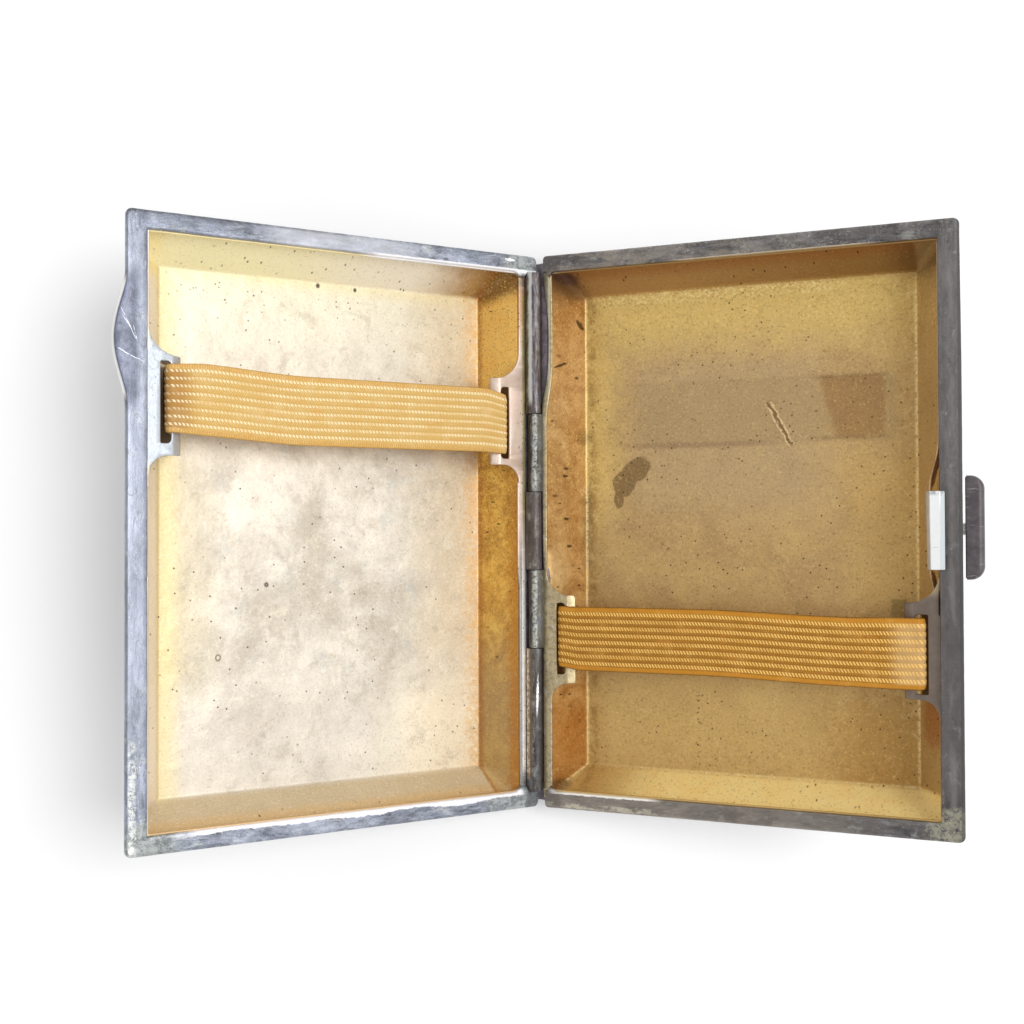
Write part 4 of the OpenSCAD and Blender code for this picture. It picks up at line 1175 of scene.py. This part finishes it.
def lid_rim_silver():
    """The lid's rim: bluish and lighter than the base's, partly as painted light, polished inside its
    lower edge, crusty at its ends, with the lip.
    """
    p = Paint("lid_band_silver", metallic=0.75)
    u, w = p.u, p.w
    flow = u.ease(57.4, 58.6)
    rough, normal = tarnish(p, "#585b63", "#8f94a1", "#bcc1d0", 70, 0.5, 0.4, flow)
    p.lay(u.ease(58, 58.6) * w.bar(-28, 37, 5) * 0.5, "#9a9fac")
    upper = w.ease(38.5, 39)
    p.lay(upper * u.fuzz(5, 8, 78).ease(26, 36) * w.ease(39, 41.4) * 0.45, "#5c5e64")
    p.lay(upper * u.fuzz(5, 8, 100).bar(20, 42, 4) * 0.45, "#d6d7dc")
    dull = (w.ease(41, 41.4) | w.ease(-41.0, -41.4)) * p.noise(101, 1.2, 5, 0.7).ease(0.4, 0.6)
    p.lay(dull * 0.6, "#4a4c50")
    crusty = (p.spot(58.5, -40, 4.5, 2.6, 0, 0.3, 0.9, 1.4, 75)
              | p.spot(1.8, 40, 3.4, 3, 0, 0.3, 0.6, 1.5, 76))
    crusty = crusty | p.spot(2.5, -40, 6, 2.4, 0, 0.3, 0.9, 1.6, 102)
    green = p.mix(p.noise(77, 0.8, 6, 0.8).ease(0.42, 0.56), "#70756f", "#b8bcb6")
    p.lay(crusty * 0.65, green)
    p.lay(w.ease(-38, -38.6) * u.fuzz(0.8, 0.8, 103).ease(2, 1.2) * 0.7, "#5f5f60")
    flakes = (u.fuzz(1.5, 1, 104).bar(59.7, 60.6, 0.15) * w.ease(-26, -29)
              * p.noise(105, 1, 6, 0.8).ease(0.44, 0.54))
    p.lay(flakes * 0.85, "#dfe1db")
    worn = w + (p.noise(106, 7, 2, 0.5) - 0.5) * 1.6
    worn = (worn + u.ease(12, 3) * -0.3).fuzz(0.7, 0.6, 79)
    bottom = worn.ease(-39.68, -39.52) * w.ease(-38.5, -38.9)
    bottom = bottom * u.fuzz(3, 8, 80).ease(56, 50) * u.ease(1.8, 2.6)
    top = w.fuzz(1.2, 0.3, 81).ease(39.38, 39.26) * upper * u.fuzz(2, 4, 82).ease(29, 25)
    polished = bottom | top
    p.lay(polished * 0.97, "#fafaff")
    nick = (p.spot(60.2, -40.5, 0.3, 0.46, 25, 0.2, 0.7, 0.5, 85)
            | p.spot(4.2, 40.6, 0.8, 0.26, 0, 0.15, 2.2, 0.4, 86))
    p.lay(nick, "#ffffff")
    t = (w - LIP_AT) * (1 / LIP_LEN) + 0.5
    swell = p.calc("POWER", 0.5 - p.calc("COSINE", t * (2 * math.pi)) * 0.5, 0.8)
    inset = REACH + swell * LIP_OUT - u
    on_lip = t.bar(0.06, 0.94, 0.05)
    p.lay(t.bar(0, 1, 0.08) * u.ease(58.6, 60) * 0.85,
          p.mix(p.noise(107, 1.6, 6, 0.75).ease(0.38, 0.62), "#4b4e5a", "#6d6f7d"))
    p.lay(on_lip * inset.bar(0.15, 0.55, 0.12) * 0.5, "#4f5872")
    p.lay(on_lip * inset.ease(0.3, 0.14) * 0.9, "#fbf9f4")
    line = p.scratch(60.4, 22.6, 4.4, 26, 0.05, 93, 0.5) | p.scratch(61.4, 28.2, 1.8, 62, 0.04, 108)
    line = line | (p.scratch(60.3, 25.9, 3.4, 65, 0.04, 109) | p.scratch(59.8, 25.4, 2.4, 75, 0.05, 110))
    line = line | p.scratch(60.9, 26.9, 2.2, 58, 0.035, 118)
    p.lay(line * 0.75, "#e6e9f0")
    return p.done(rough - polished * 0.1, normal, 0.75 - polished * 0.6)


def base_rim_silver():
    """The base's rim: dark and streaked, partly as painted shade, warmer at top and bottom, with a crusty
    corner and its outer edge painted dark.
    """
    p = Paint("base_band_silver", metallic=0.75)
    u, w = p.u, p.w
    flow = u.ease(57.4, 58.6)
    rough, normal = tarnish(p, "#4e4a4a", "#6c6867", "#8d8987", 80, 0.25, 0.25, flow)
    p.lay(u.ease(58, 58.6) * w.bar(-36, 38, 2) * 0.5, "#827d7b")
    p.lay(w.ease(-38.4, -39) * u.ease(56, 40) * 0.45, "#958b80")
    ends = w.ease(38.4, 39.2) | w.ease(-38.4, -39.2)
    beige = (ends * u.fuzz(4, 8, 88).ease(46, 30)
             * p.noise(89, 2.4, 5, 0.7, 0.5, vector=p.stretch(0.4, 1)).ease(0.38, 0.62))
    p.lay(beige * 0.55, "#aca294")
    flecks = (p.noise(128, 0.42, 4, 0.8, 1.2, vector=p.stretch(0.7, 1.1, turn=12)).ease(0.52, 0.62)
              * p.noise(129, 3.2, 3, 0.7).ease(0.44, 0.58))
    flecks = flecks * w.ease(38.4, 39) * u.ease(60.3, 59.8)
    p.lay(flecks * 0.6, "#c6c1ba")
    p.lay(u.ease(57.8, 58.3) * w.ease(6, -8) * 0.35, "#4d494b")
    right = (u.fuzz(2, 0.5, 94).bar(59.3, 60.1, 0.3)
             * p.noise(95, 3, 3, 0.6, vector=p.stretch(1, 0.3)).ease(0.46, 0.62))
    p.lay(right * 0.4, "#9b9897")
    cream = (w.fuzz(1.2, 0.15, 111).ease(39.2, 39.1) * w.ease(38.5, 38.9)
             * u.fuzz(3, 6, 112).bar(22, 50, 2))
    p.lay(cream * 0.8, "#d6c8b2")
    crusty = p.spot(59, -39.6, 3.2, 2.2, 38, 0.25, 0.7, 1.4, 96) * p.noise(97, 1, 6, 0.8).ease(0.4, 0.54)
    p.lay(crusty * 0.8, p.mix(p.noise(113, 0.5, 4, 0.7), "#8f8b7a", "#cfcab4"))
    scale = (w.fuzz(1.5, 0.8, 114).bar(-41.2, -40.5, 0.15) * u.ease(24, 16)
             * p.noise(115, 1.2, 6, 0.8, vector=p.stretch(0.5, 1)).ease(0.45, 0.56))
    p.lay(scale * 0.75, "#d3ccb8")
    polished = (w.fuzz(0.9, 0.4, 98).ease(-39.38, -39.22) * w.ease(-38.5, -38.9)
                * u.fuzz(2, 3, 99).ease(20, 17))
    p.lay(polished * u.ease(1.8, 3) * 0.95, "#fdfaf2")
    dark = u.fuzz(1.5, 2, 116).ease(5, 3) * ends
    p.lay(dark * 0.5, "#4c4648")
    # Painted shade: the outer rounding painted dark, and made rougher, to hold back the highlight it
    # would catch.
    edge = u.ease(60.5, 60.8)
    p.lay(edge * 0.7, "#3a3738")
    return p.done(rough + edge * 0.3, normal, 0.75 - (edge | polished) * 0.5)


def knuckle_silver(side):
    """Knuckles, streaked along the hinge, with painted highlights and painted shade on their flanks; the
    lid's run pale into its plate and the lowest shines with a painted highlight.
    """
    p = Paint(f"{BODY[side]}_knuckle_silver", metallic=0.7)
    u, w = p.u, p.w
    rough, normal = tarnish(p, "#39342f", "#5f5952", "#8a847b", 90 + 30 * (side > 0), 0.5, 0.35)
    lines = p.noise(180 + side, 0.45, 5, 0.7, 0.4, vector=p.stretch(1, 0.14))
    p.lay(lines.ease(0.54, 0.64) * 0.5, "#bcbcb6")
    p.lay(lines.ease(0.45, 0.35) * 0.6, "#2c2725")
    if side == BASE:
        # Base knuckles: a pale broken streak, partly crust and partly painted highlight, and painted
        # shade on the flank towards the lid.
        streak = u.fuzz(1.2, 0.6, 183).bar(0, 0.6, 0.15) * p.noise(184, 0.5, 6, 0.8).ease(0.42, 0.54)
        p.lay(streak * 0.75, "#ced1c8")
        p.lay(u.ease(0.6, 0.9) * 0.5, "#6d7068")
        p.lay(u.fuzz(1, 0.4, 185).ease(-0.1, -0.5) * 0.7, "#37322f")
        return p.done(rough + 0.15, normal)
    top, bottom = w.ease(17, 18), w.ease(-17, -18)
    middle = 1 - (top + bottom)
    p.lay(middle * 0.45, p.mix(p.noise(186, 1.5, 5, 0.7), "#5b4f50", "#77695c"))
    p.lay(middle * u.fuzz(1.5, 0.5, 192).ease(0.2, -0.2) * 0.4, "#504e70")
    lilac = p.mix(lines.ease(0.42, 0.58), "#5d5862", "#a6a2ac")
    # Top knuckle: a painted reflection on the flank towards the lid and painted shade on the flank
    # towards the base.
    p.lay(top * u.fuzz(1.6, 0.3, 187).bar(-0.25, 0.85, 0.15) * 0.6, lilac)
    p.lay(top * u.fuzz(1.6, 0.3, 188).ease(-0.25, -0.6) * 0.7, "#3b3436")
    p.lay(top * u.fuzz(1.6, 0.2, 193).ease(1.15, 1.35) * 0.8, "#4d3d2e")
    p.lay(top * p.noise(198, 2.2, 5, 0.7).ease(0.4, 0.58) * 0.45, "#5d4a35")
    # A painted highlight along the top knuckle's flank.
    line = top * u.fuzz(1.6, 0.35, 194).bar(0.8, 1.15, 0.1) * w.ease(18.4, 20)
    p.lay(line * 0.85, "#d9d8d2")
    tan = p.mix(p.noise(189, 0.5, 6, 0.8).ease(0.42, 0.58), "#a08c76", "#efe0cc")
    low = bottom * w.ease(-37.5, -36)
    p.lay(low * u.fuzz(1.6, 0.3, 195).ease(0.75, 1) * 0.75, "#7a6752")
    p.lay(low * u.fuzz(1.6, 0.3, 190).ease(1.1, 1.25) * 0.9, tan)
    p.lay(bottom * u.fuzz(1.6, 0.4, 196).ease(0.8, 0.6) * 0.5, p.mix(lines, "#2f2d2e", "#6c6d72"))
    # Painted highlight: a white glint on the lowest knuckle.
    shine = (p.spot(0.25, -24.6, 0.15, 2.7, 2, 0.5, 0.6, 1, 191)
             * p.noise(197, 0.6, 4, 0.8).ease(0.36, 0.48))
    p.lay(shine, "#ffffff")
    # Painted shade on the lowest knuckle's flank towards the base.
    p.lay(bottom * u.bar(-1.1, -0.35, 0.15) * 0.6, "#2f2a2a")
    return p.done(rough + 0.15 - shine * 0.2, normal)


def pale_silver(name, first, second, seed):
    """A plate's satin silver, flecked with grime."""
    p = Paint(name, metallic=0.7)
    p.colour = p.mix(p.noise(seed, 3, 5, 0.65, 0.6), first, second)
    p.lay(p.noise(seed + 1, 0.9, 6, 0.75).ease(0.56, 0.68) * 0.45, "#6b5c4c")
    p.lay(p.specks(1, 0.1, seed + 4) * 0.45, "#33261c")
    return p


def pale_done(p, seed):
    """The plate's material, with a fine grain."""
    rough = p.noise(seed + 2, 0.8, 4, 0.6) * 0.25 + 0.26
    return p.done(rough, p.relief(p.noise(seed + 3, 0.5, 4, 0.65), 0.04, 0.6))


def lid_plate_silver():
    """The lid's plate: white by the lip, pinkish beige by the hinge, gilt along the upper edge."""
    p = pale_silver("lid_plate_silver", "#acb1b8", "#c3c8cf", 130)
    u, w = p.u, p.w
    warm = p.mix(p.noise(135, 2, 5, 0.7), "#c3a691", "#e6d5c9")
    p.lay(u.ease(9, 7) * w.fuzz(3, 6, 136).ease(-16, 0), warm)
    p.lay(u.ease(9, 7) * w.fuzz(2, 4, 137).ease(27, 33) * 0.7, "#b98c5c")
    # An olive stripe along the hinge strip's edge, by the barrel.
    olive_stripe = u.fuzz(0.8, 0.35, 138).bar(1.2, 1.7, 0.12) * w.ease(-4, 6) * w.ease(36.5, 35)
    p.lay(olive_stripe * 0.8, p.mix(p.noise(142, 1.2, 5, 0.7), "#857c44", "#d0ca78"))
    p.lay(u.bar(1.88, 2.35, 0.1) * w.ease(2, -6) * 0.7, "#8f908a")
    stripe = u.fuzz(0.8, 0.15, 139).bar(1.1, 1.88, 0.1) * w.ease(4, -6) * w.ease(-37, -35)
    p.lay(stripe * 0.85, "#fff8f0")
    p.lay(p.specks(0.9, 0.14, 143) * u.ease(3, 2.4) * 0.8, "#4a3524")
    crust = u.ease(2.6, 2.2) * abs(w).ease(35.5, 37.5) * p.noise(144, 0.7, 6, 0.8).ease(0.4, 0.56)
    p.lay(crust * 0.8, "#767a70")
    dull = u.ease(6, 4) * w.ease(4, -10) * p.noise(140, 1.4, 6, 0.75).ease(0.4, 0.58)
    p.lay(dull * (1 - stripe) * 0.55, "#9a8a7c")
    inner = u.ease(2.6, 3.4)
    upper = w.ease(38.2, 38.5) * inner
    gilt = u.fuzz(2, 4, 141).ease(25, 29)
    p.lay(upper * 0.9, p.mix(gilt, "#fbfcff", "#f8e6ac"))
    p.lay(w.ease(-38.2, -38.5) * inner * 0.9, "#d8b480")
    loops = w.bar(9, 23.8, 0.4)
    beside = u.ease(57.7, 57.75) * (1 - loops)
    p.lay(beside * 0.9, "#e4cfa2")
    line = u.ease(57.92, 57.97) * (1 - loops)
    p.lay(line * 0.9, p.mix(w.ease(-4, -10), "#fdf2f2", "#c8cad4"))
    return pale_done(p, 130)


def base_plate_silver():
    """The base's plate: beige by the hinge, taupe by the catch."""
    p = pale_silver("base_plate_silver", "#b5a37e", "#d6c49a", 145)
    u, w = p.u, p.w
    dark = p.mix(p.noise(146, 2, 5, 0.7), "#665a50", "#93857a")
    dark = dark.mix(w.ease(-9.5, -8) * 0.8, "#bda98c")
    p.lay(u.ease(40, 44), dark)
    grey = u.fuzz(1.5, 0.4, 148).ease(2.2, 1.7) * w.ease(18, 25)
    p.lay(grey * 0.7, "#77746b")
    grey = u.ease(6, 4) * p.noise(149, 0.7, 6, 0.8).ease(0.48, 0.6)
    p.lay(grey * 0.6, "#7c7566")
    bright = p.noise(147, 1.2, 5, 0.7).ease(0.54, 0.66) * u.ease(9, 7)
    p.lay(bright * 0.5, "#e3ddd0")
    rim_side = w.ease(38.2, 38.5) | w.ease(-38.2, -38.5)
    p.lay(rim_side * u.ease(3, 4) * 0.85, p.mix(w.ease(-1, 1), "#d6b26c", "#a07a44"))
    line = u.fuzz(1, 0.2, 158).bar(1.95, 2.25, 0.1) * w.ease(14, 20)
    p.lay(line * 0.6, "#ded8bd")
    return pale_done(p, 145)


def elastic(name, side, row_end, colours, seed, show=0.7, worn=None):
    """Woven elastic: rows of slanted stitches, a finer weave and a groove below each, and edge bands.

    The colours are those of stitches, cord, groove and edge bands. With a low show, the stitches of the
    middle rows are faint in places. worn says where a tone begins and is full, the tone and its amount.
    """
    stitch, cord, groove, band = colours
    p = Paint(name)
    s, w, _ = p.parts(p.add("Attribute", attribute_name="weave").outputs["Vector"])
    g = (ROW_TOP - w) / ROW_PITCH
    f = p.calc("FRACT", g)
    inside = g.ease(-0.04, 0.04) * g.ease(ROWS - 0.24, ROWS - 0.3)
    wave = lambda phase: p.calc("COSINE", phase * (2 * math.pi)) * 0.5 + 0.5
    slant = wave(s * (side / STITCH[side]) + w * (SLANT / STITCH[side]))
    back = wave(s * (side / BACK_PITCH) + w * (-0.5 / BACK_PITCH))
    row = f.bar(0.05, row_end, 0.05)
    threads = p.noise(seed + 1, 0.16, 3, 0.7, vector=p.stretch(1.6, 0.9))
    tint = p.noise(seed + 2, 3, 5, 0.65)
    fleck = threads.ease(0.4, 0.62)
    between = p.mix(back * (0.35 + fleck * 0.65), groove, cord)
    p.colour = p.mix(f.bar(GROOVE_AT, 0.97, 0.05) * 0.75, between, groove)
    ground = p.mix(0.45, groove, cord)
    if worn:
        place, full, tone, amount = worn
        mask = p.u.fuzz(1.5, 2, seed + 3).ease(place, full) * amount
        p.colour, ground = p.mix(mask, p.colour, tone), p.mix(mask, ground, tone)
    outer = g.ease(1, 0.9) | g.ease(ROWS - 1.05, ROWS - 0.95)
    plain = p.noise(seed + 4, 2.5, 4, 0.7, vector=p.stretch(0.5, 1.6)).ease(0.62, 0.42) * (1 - show)
    seen = (outer | show + plain) * (0.75 + fleck * 0.25)
    p.lay(row, p.mix(slant.ease(0.25, 0.75) * seen, ground, stitch))
    cross = wave(s * (1 / CROSS_PITCH))
    edge = p.mix(cross * fleck, band, cord)
    edge = edge.mix(abs(w).ease(STRAP_W / 2 - 0.28, STRAP_W / 2), groove)
    p.colour = p.mix(inside, edge, p.colour)
    warm = p.noise(seed + 5, 1.5, 4, 0.7, vector=p.stretch(0.5, 1.3)).ease(0.55, 0.66)
    p.lay(warm * 0.2, "#dd9038")
    p.lay(tint.ease(0.5, 0.7) * 0.12, stitch)
    p.lay(tint.ease(0.5, 0.32) * 0.18, groove)
    # Painted shade: the strap darkened below the plate, where its legs run down into the slots.
    near = STRIP_END + HINGE_NECK[side] + SLOT_W
    far = RIM_EDGE - OUTER_NECK[side] - SLOT_OUT[side]
    slot_leg_shade = (p.u.ease(near, near - 0.2) | p.u.ease(far, far + 0.2)) * p.n.ease(-0.9, -1.4)
    p.lay(slot_leg_shade * 0.85, "#2b180f")
    height = slant * row + back * 0.3 + threads * 0.7
    return p.done(0.75, p.relief(height, 0.05, 0.7))


def plain_metal(name, first, second, seed, rough=0.35, metallic=0.85, half=True):
    """Plain metal with faint hairlines; half is False on the CAD's own meshes."""
    p = Paint(name, metallic=metallic, half=half)
    tone = p.noise(seed, 1.4, 5, 0.65, 0.3)
    p.colour = p.mix(tone.ease(0.35, 0.65), first, second)
    hair = p.noise(seed + 1, 0.8, 3, 0.6, vector=p.stretch(0.4, 4)).ease(0.62, 0.7)
    p.lay(hair * 0.3, "#e8e8e6")
    spread = p.noise(seed + 2, 0.9, 3, 0.6) * 0.2 + (rough - 0.1)
    return p.done(spread, p.relief(p.noise(seed + 3, 0.5, 3, 0.6), 0.03, 0.5))


def hook_silver():
    """The tongue: bright on its nose, with painted shade on its back bevel and front face, and duller at
    its top.
    """
    p = Paint("hook_silver", metallic=0.3)
    u, w = p.u, p.w
    p.colour = p.mix(p.noise(110, 1.4, 5, 0.65, 0.3), "#f0f4f4", "#ffffff")
    # Painted shade on the back bevel.
    back = (u + w * 0.012).fuzz(1.5, 0.15, 111).ease(57.25, 57.1)
    p.lay(back * 0.85, p.mix(p.noise(112, 1.5, 4, 0.6), "#8d857c", "#c4bdb4"))
    # Lighter painted shade on the front face.
    front = u.fuzz(1.5, 0.12, 113).ease(58.42, 58.5)
    p.lay(front * 0.6, "#a9b3b6")
    ends = w.fuzz(0.8, 0.5, 114).ease(4.3, 4.8) * p.noise(115, 0.6, 4, 0.7).ease(0.4, 0.6)
    p.lay(ends * 0.7, "#8d8f93")
    line = p.scratch(57.9, -2.4, 1.2, 4, 0.07, 116, 0.1)
    p.lay(line * 0.5, "#9fb3a6")
    return p.done(0.3, p.relief(p.noise(117, 0.5, 3, 0.6), 0.03, 0.5))


def floor_material():
    """White studio floor: what looks at it sees white less the object's shadow."""
    material = bpy.data.materials.new("studio_floor")
    material.use_nodes = True
    material.node_tree.nodes.clear()
    t = Nodes(material.node_tree)
    white, grey = [t.add("BsdfDiffuse", {"Color": (tone, tone, tone, 1)}).outputs[0]
                   for tone in (0.99, 0.8)]
    glow = t.add("Emission", {"Strength": 0.03}).outputs[0]
    rays = t.add("LightPath").outputs
    looking = Value(t, rays["Is Camera Ray"]) | rays["Is Glossy Ray"] | rays["Is Transmission Ray"]
    lit = t.add("AddShader", (white, glow)).outputs[0]
    t.add("OutputMaterial", (t.add("MixShader", (looking, grey, lit)).outputs[0],))
    return material


# Studio

KEY_AT, KEY_AIM = (0.40, 0.12, 0.95), (0, 0, 0.01)


def camera():
    """The photograph's view: above the case, its axes found from the case's corners in the picture."""
    focal_px, distance = 1300.0, 196.0666
    shift_x, shift_y = 3.4798, -2.8342
    rx, ry, rz = -0.0166, 0.0613, 0.0032
    turn = Matrix.Rotation(rz, 3, "Z") @ Matrix.Rotation(rx, 3, "X") @ Matrix.Rotation(ry, 3, "Y")
    back = turn.transposed()
    place = back @ Vector((-shift_x, -shift_y, distance))
    data = bpy.data.cameras.new("camera")
    data.sensor_width = 36.0
    data.lens = 36.0 * focal_px / 1024
    data.clip_start, data.clip_end = 0.01, 10
    obj = placed("camera", data)
    obj.matrix_world = Matrix.Translation(place * MM + Vector((AXIS_X, 0, AXIS_Z))) @ back.to_4x4()
    bpy.context.scene.camera = obj


def studio():
    """A floor, a soft sky that is brighter low down, and one lamp."""
    half = 1.5
    mesh = bpy.data.meshes.new("floor")
    mesh.from_pydata([(-half, -half, 0), (half, -half, 0), (half, half, 0), (-half, half, 0)], [],
                     [(0, 1, 2, 3)])
    mesh.materials.append(floor_material())
    placed("floor", mesh)
    world = bpy.data.worlds.new("studio")
    bpy.context.scene.world = world
    world.use_nodes = True
    t = Nodes(world.node_tree)
    x, _, z = t.parts(t.add("TexCoord").outputs["Generated"])
    side = t.add("MapRange", (x, -0.9, 0.9, 0.77, 0.88), interpolation_type="SMOOTHSTEP").outputs[0]
    height = t.add("MapRange", (z, 0.1, 0.9, 1.45, 0.70)).outputs[0]
    sky = t.tree.nodes["Background"]
    t.put(sky.inputs["Color"], (1, 1, 1, 1))
    t.put(sky.inputs["Strength"], t.calc("MULTIPLY", side, height))
    lamp = bpy.data.lights.new("key", "AREA")
    lamp.shape, lamp.size, lamp.energy = "DISK", 0.48, 4.35
    key = placed("key", lamp)
    key.location = KEY_AT
    key.rotation_mode = "QUATERNION"
    key.rotation_quaternion = (Vector(KEY_AIM) - Vector(KEY_AT)).to_track_quat("-Z", "Y")
    bpy.context.scene.view_settings.view_transform = "Standard"


# The case

silver_out = outside_silver()
spring_brass = plain_metal("spring_brass", "#b0895c", "#dcb98c", 120, metallic=0.6)
weave_lid = elastic("lid_elastic_weave", LID, 0.4, ("#fff2cc", "#efd08e", "#cea252", "#d09e4e"), 150,
                    0.3, (51, 54.5, "#a8702a", 0.7))
weave_base = elastic("base_elastic_weave", BASE, CORD_FROM, ("#ffd176", "#cf8f29", "#8e5f10", "#be7f18"),
                     160, 0.7, (50.5, 54, "#efca90", 0.45))
thread = elastic("thread_twist", BASE, CORD_FROM, ("#d9a860", "#b58036", "#8d6420", "#93621f"), 170)
wire_steel = plain_metal("wire_steel", "#5c5854", "#85807a", 180, half=False)
gutter_silver = plain_metal("gutter_silver", "#756c73", "#9d949d", 190, rough=0.6, metallic=0.2)
stem_silver = plain_metal("stem_silver", "#f4f4f4", "#ffffff", 195, metallic=0.1, half=False)

tray(BASE, base_gilt(), silver_out)
tray(LID, lid_gilt(), silver_out)
rim(BASE, base_rim_silver())
rim(LID, lid_rim_silver())
bezel(BASE, base_plate_silver())
bezel(LID, lid_plate_silver())
strap(BASE, weave_base)
strap(LID, weave_lid)
stitching(BASE, thread)
stitching(LID, thread)
hinge({BASE: knuckle_silver(BASE), LID: knuckle_silver(LID)})
thumb_piece(plain_metal("thumb_silver", "#565053", "#666063", 100, rough=0.5, metallic=0.6))
catch_tongue(hook_silver())
catch_spring(spring_brass)
bearer(BASE, gutter_silver)
bearer(LID, gutter_silver)
for node, material in (("hinge_pin", wire_steel), ("catch_stem", stem_silver)):
    mesh = frame["nodes"][node].data
    mesh.materials.clear()
    mesh.materials.append(material)

camera()
studio()
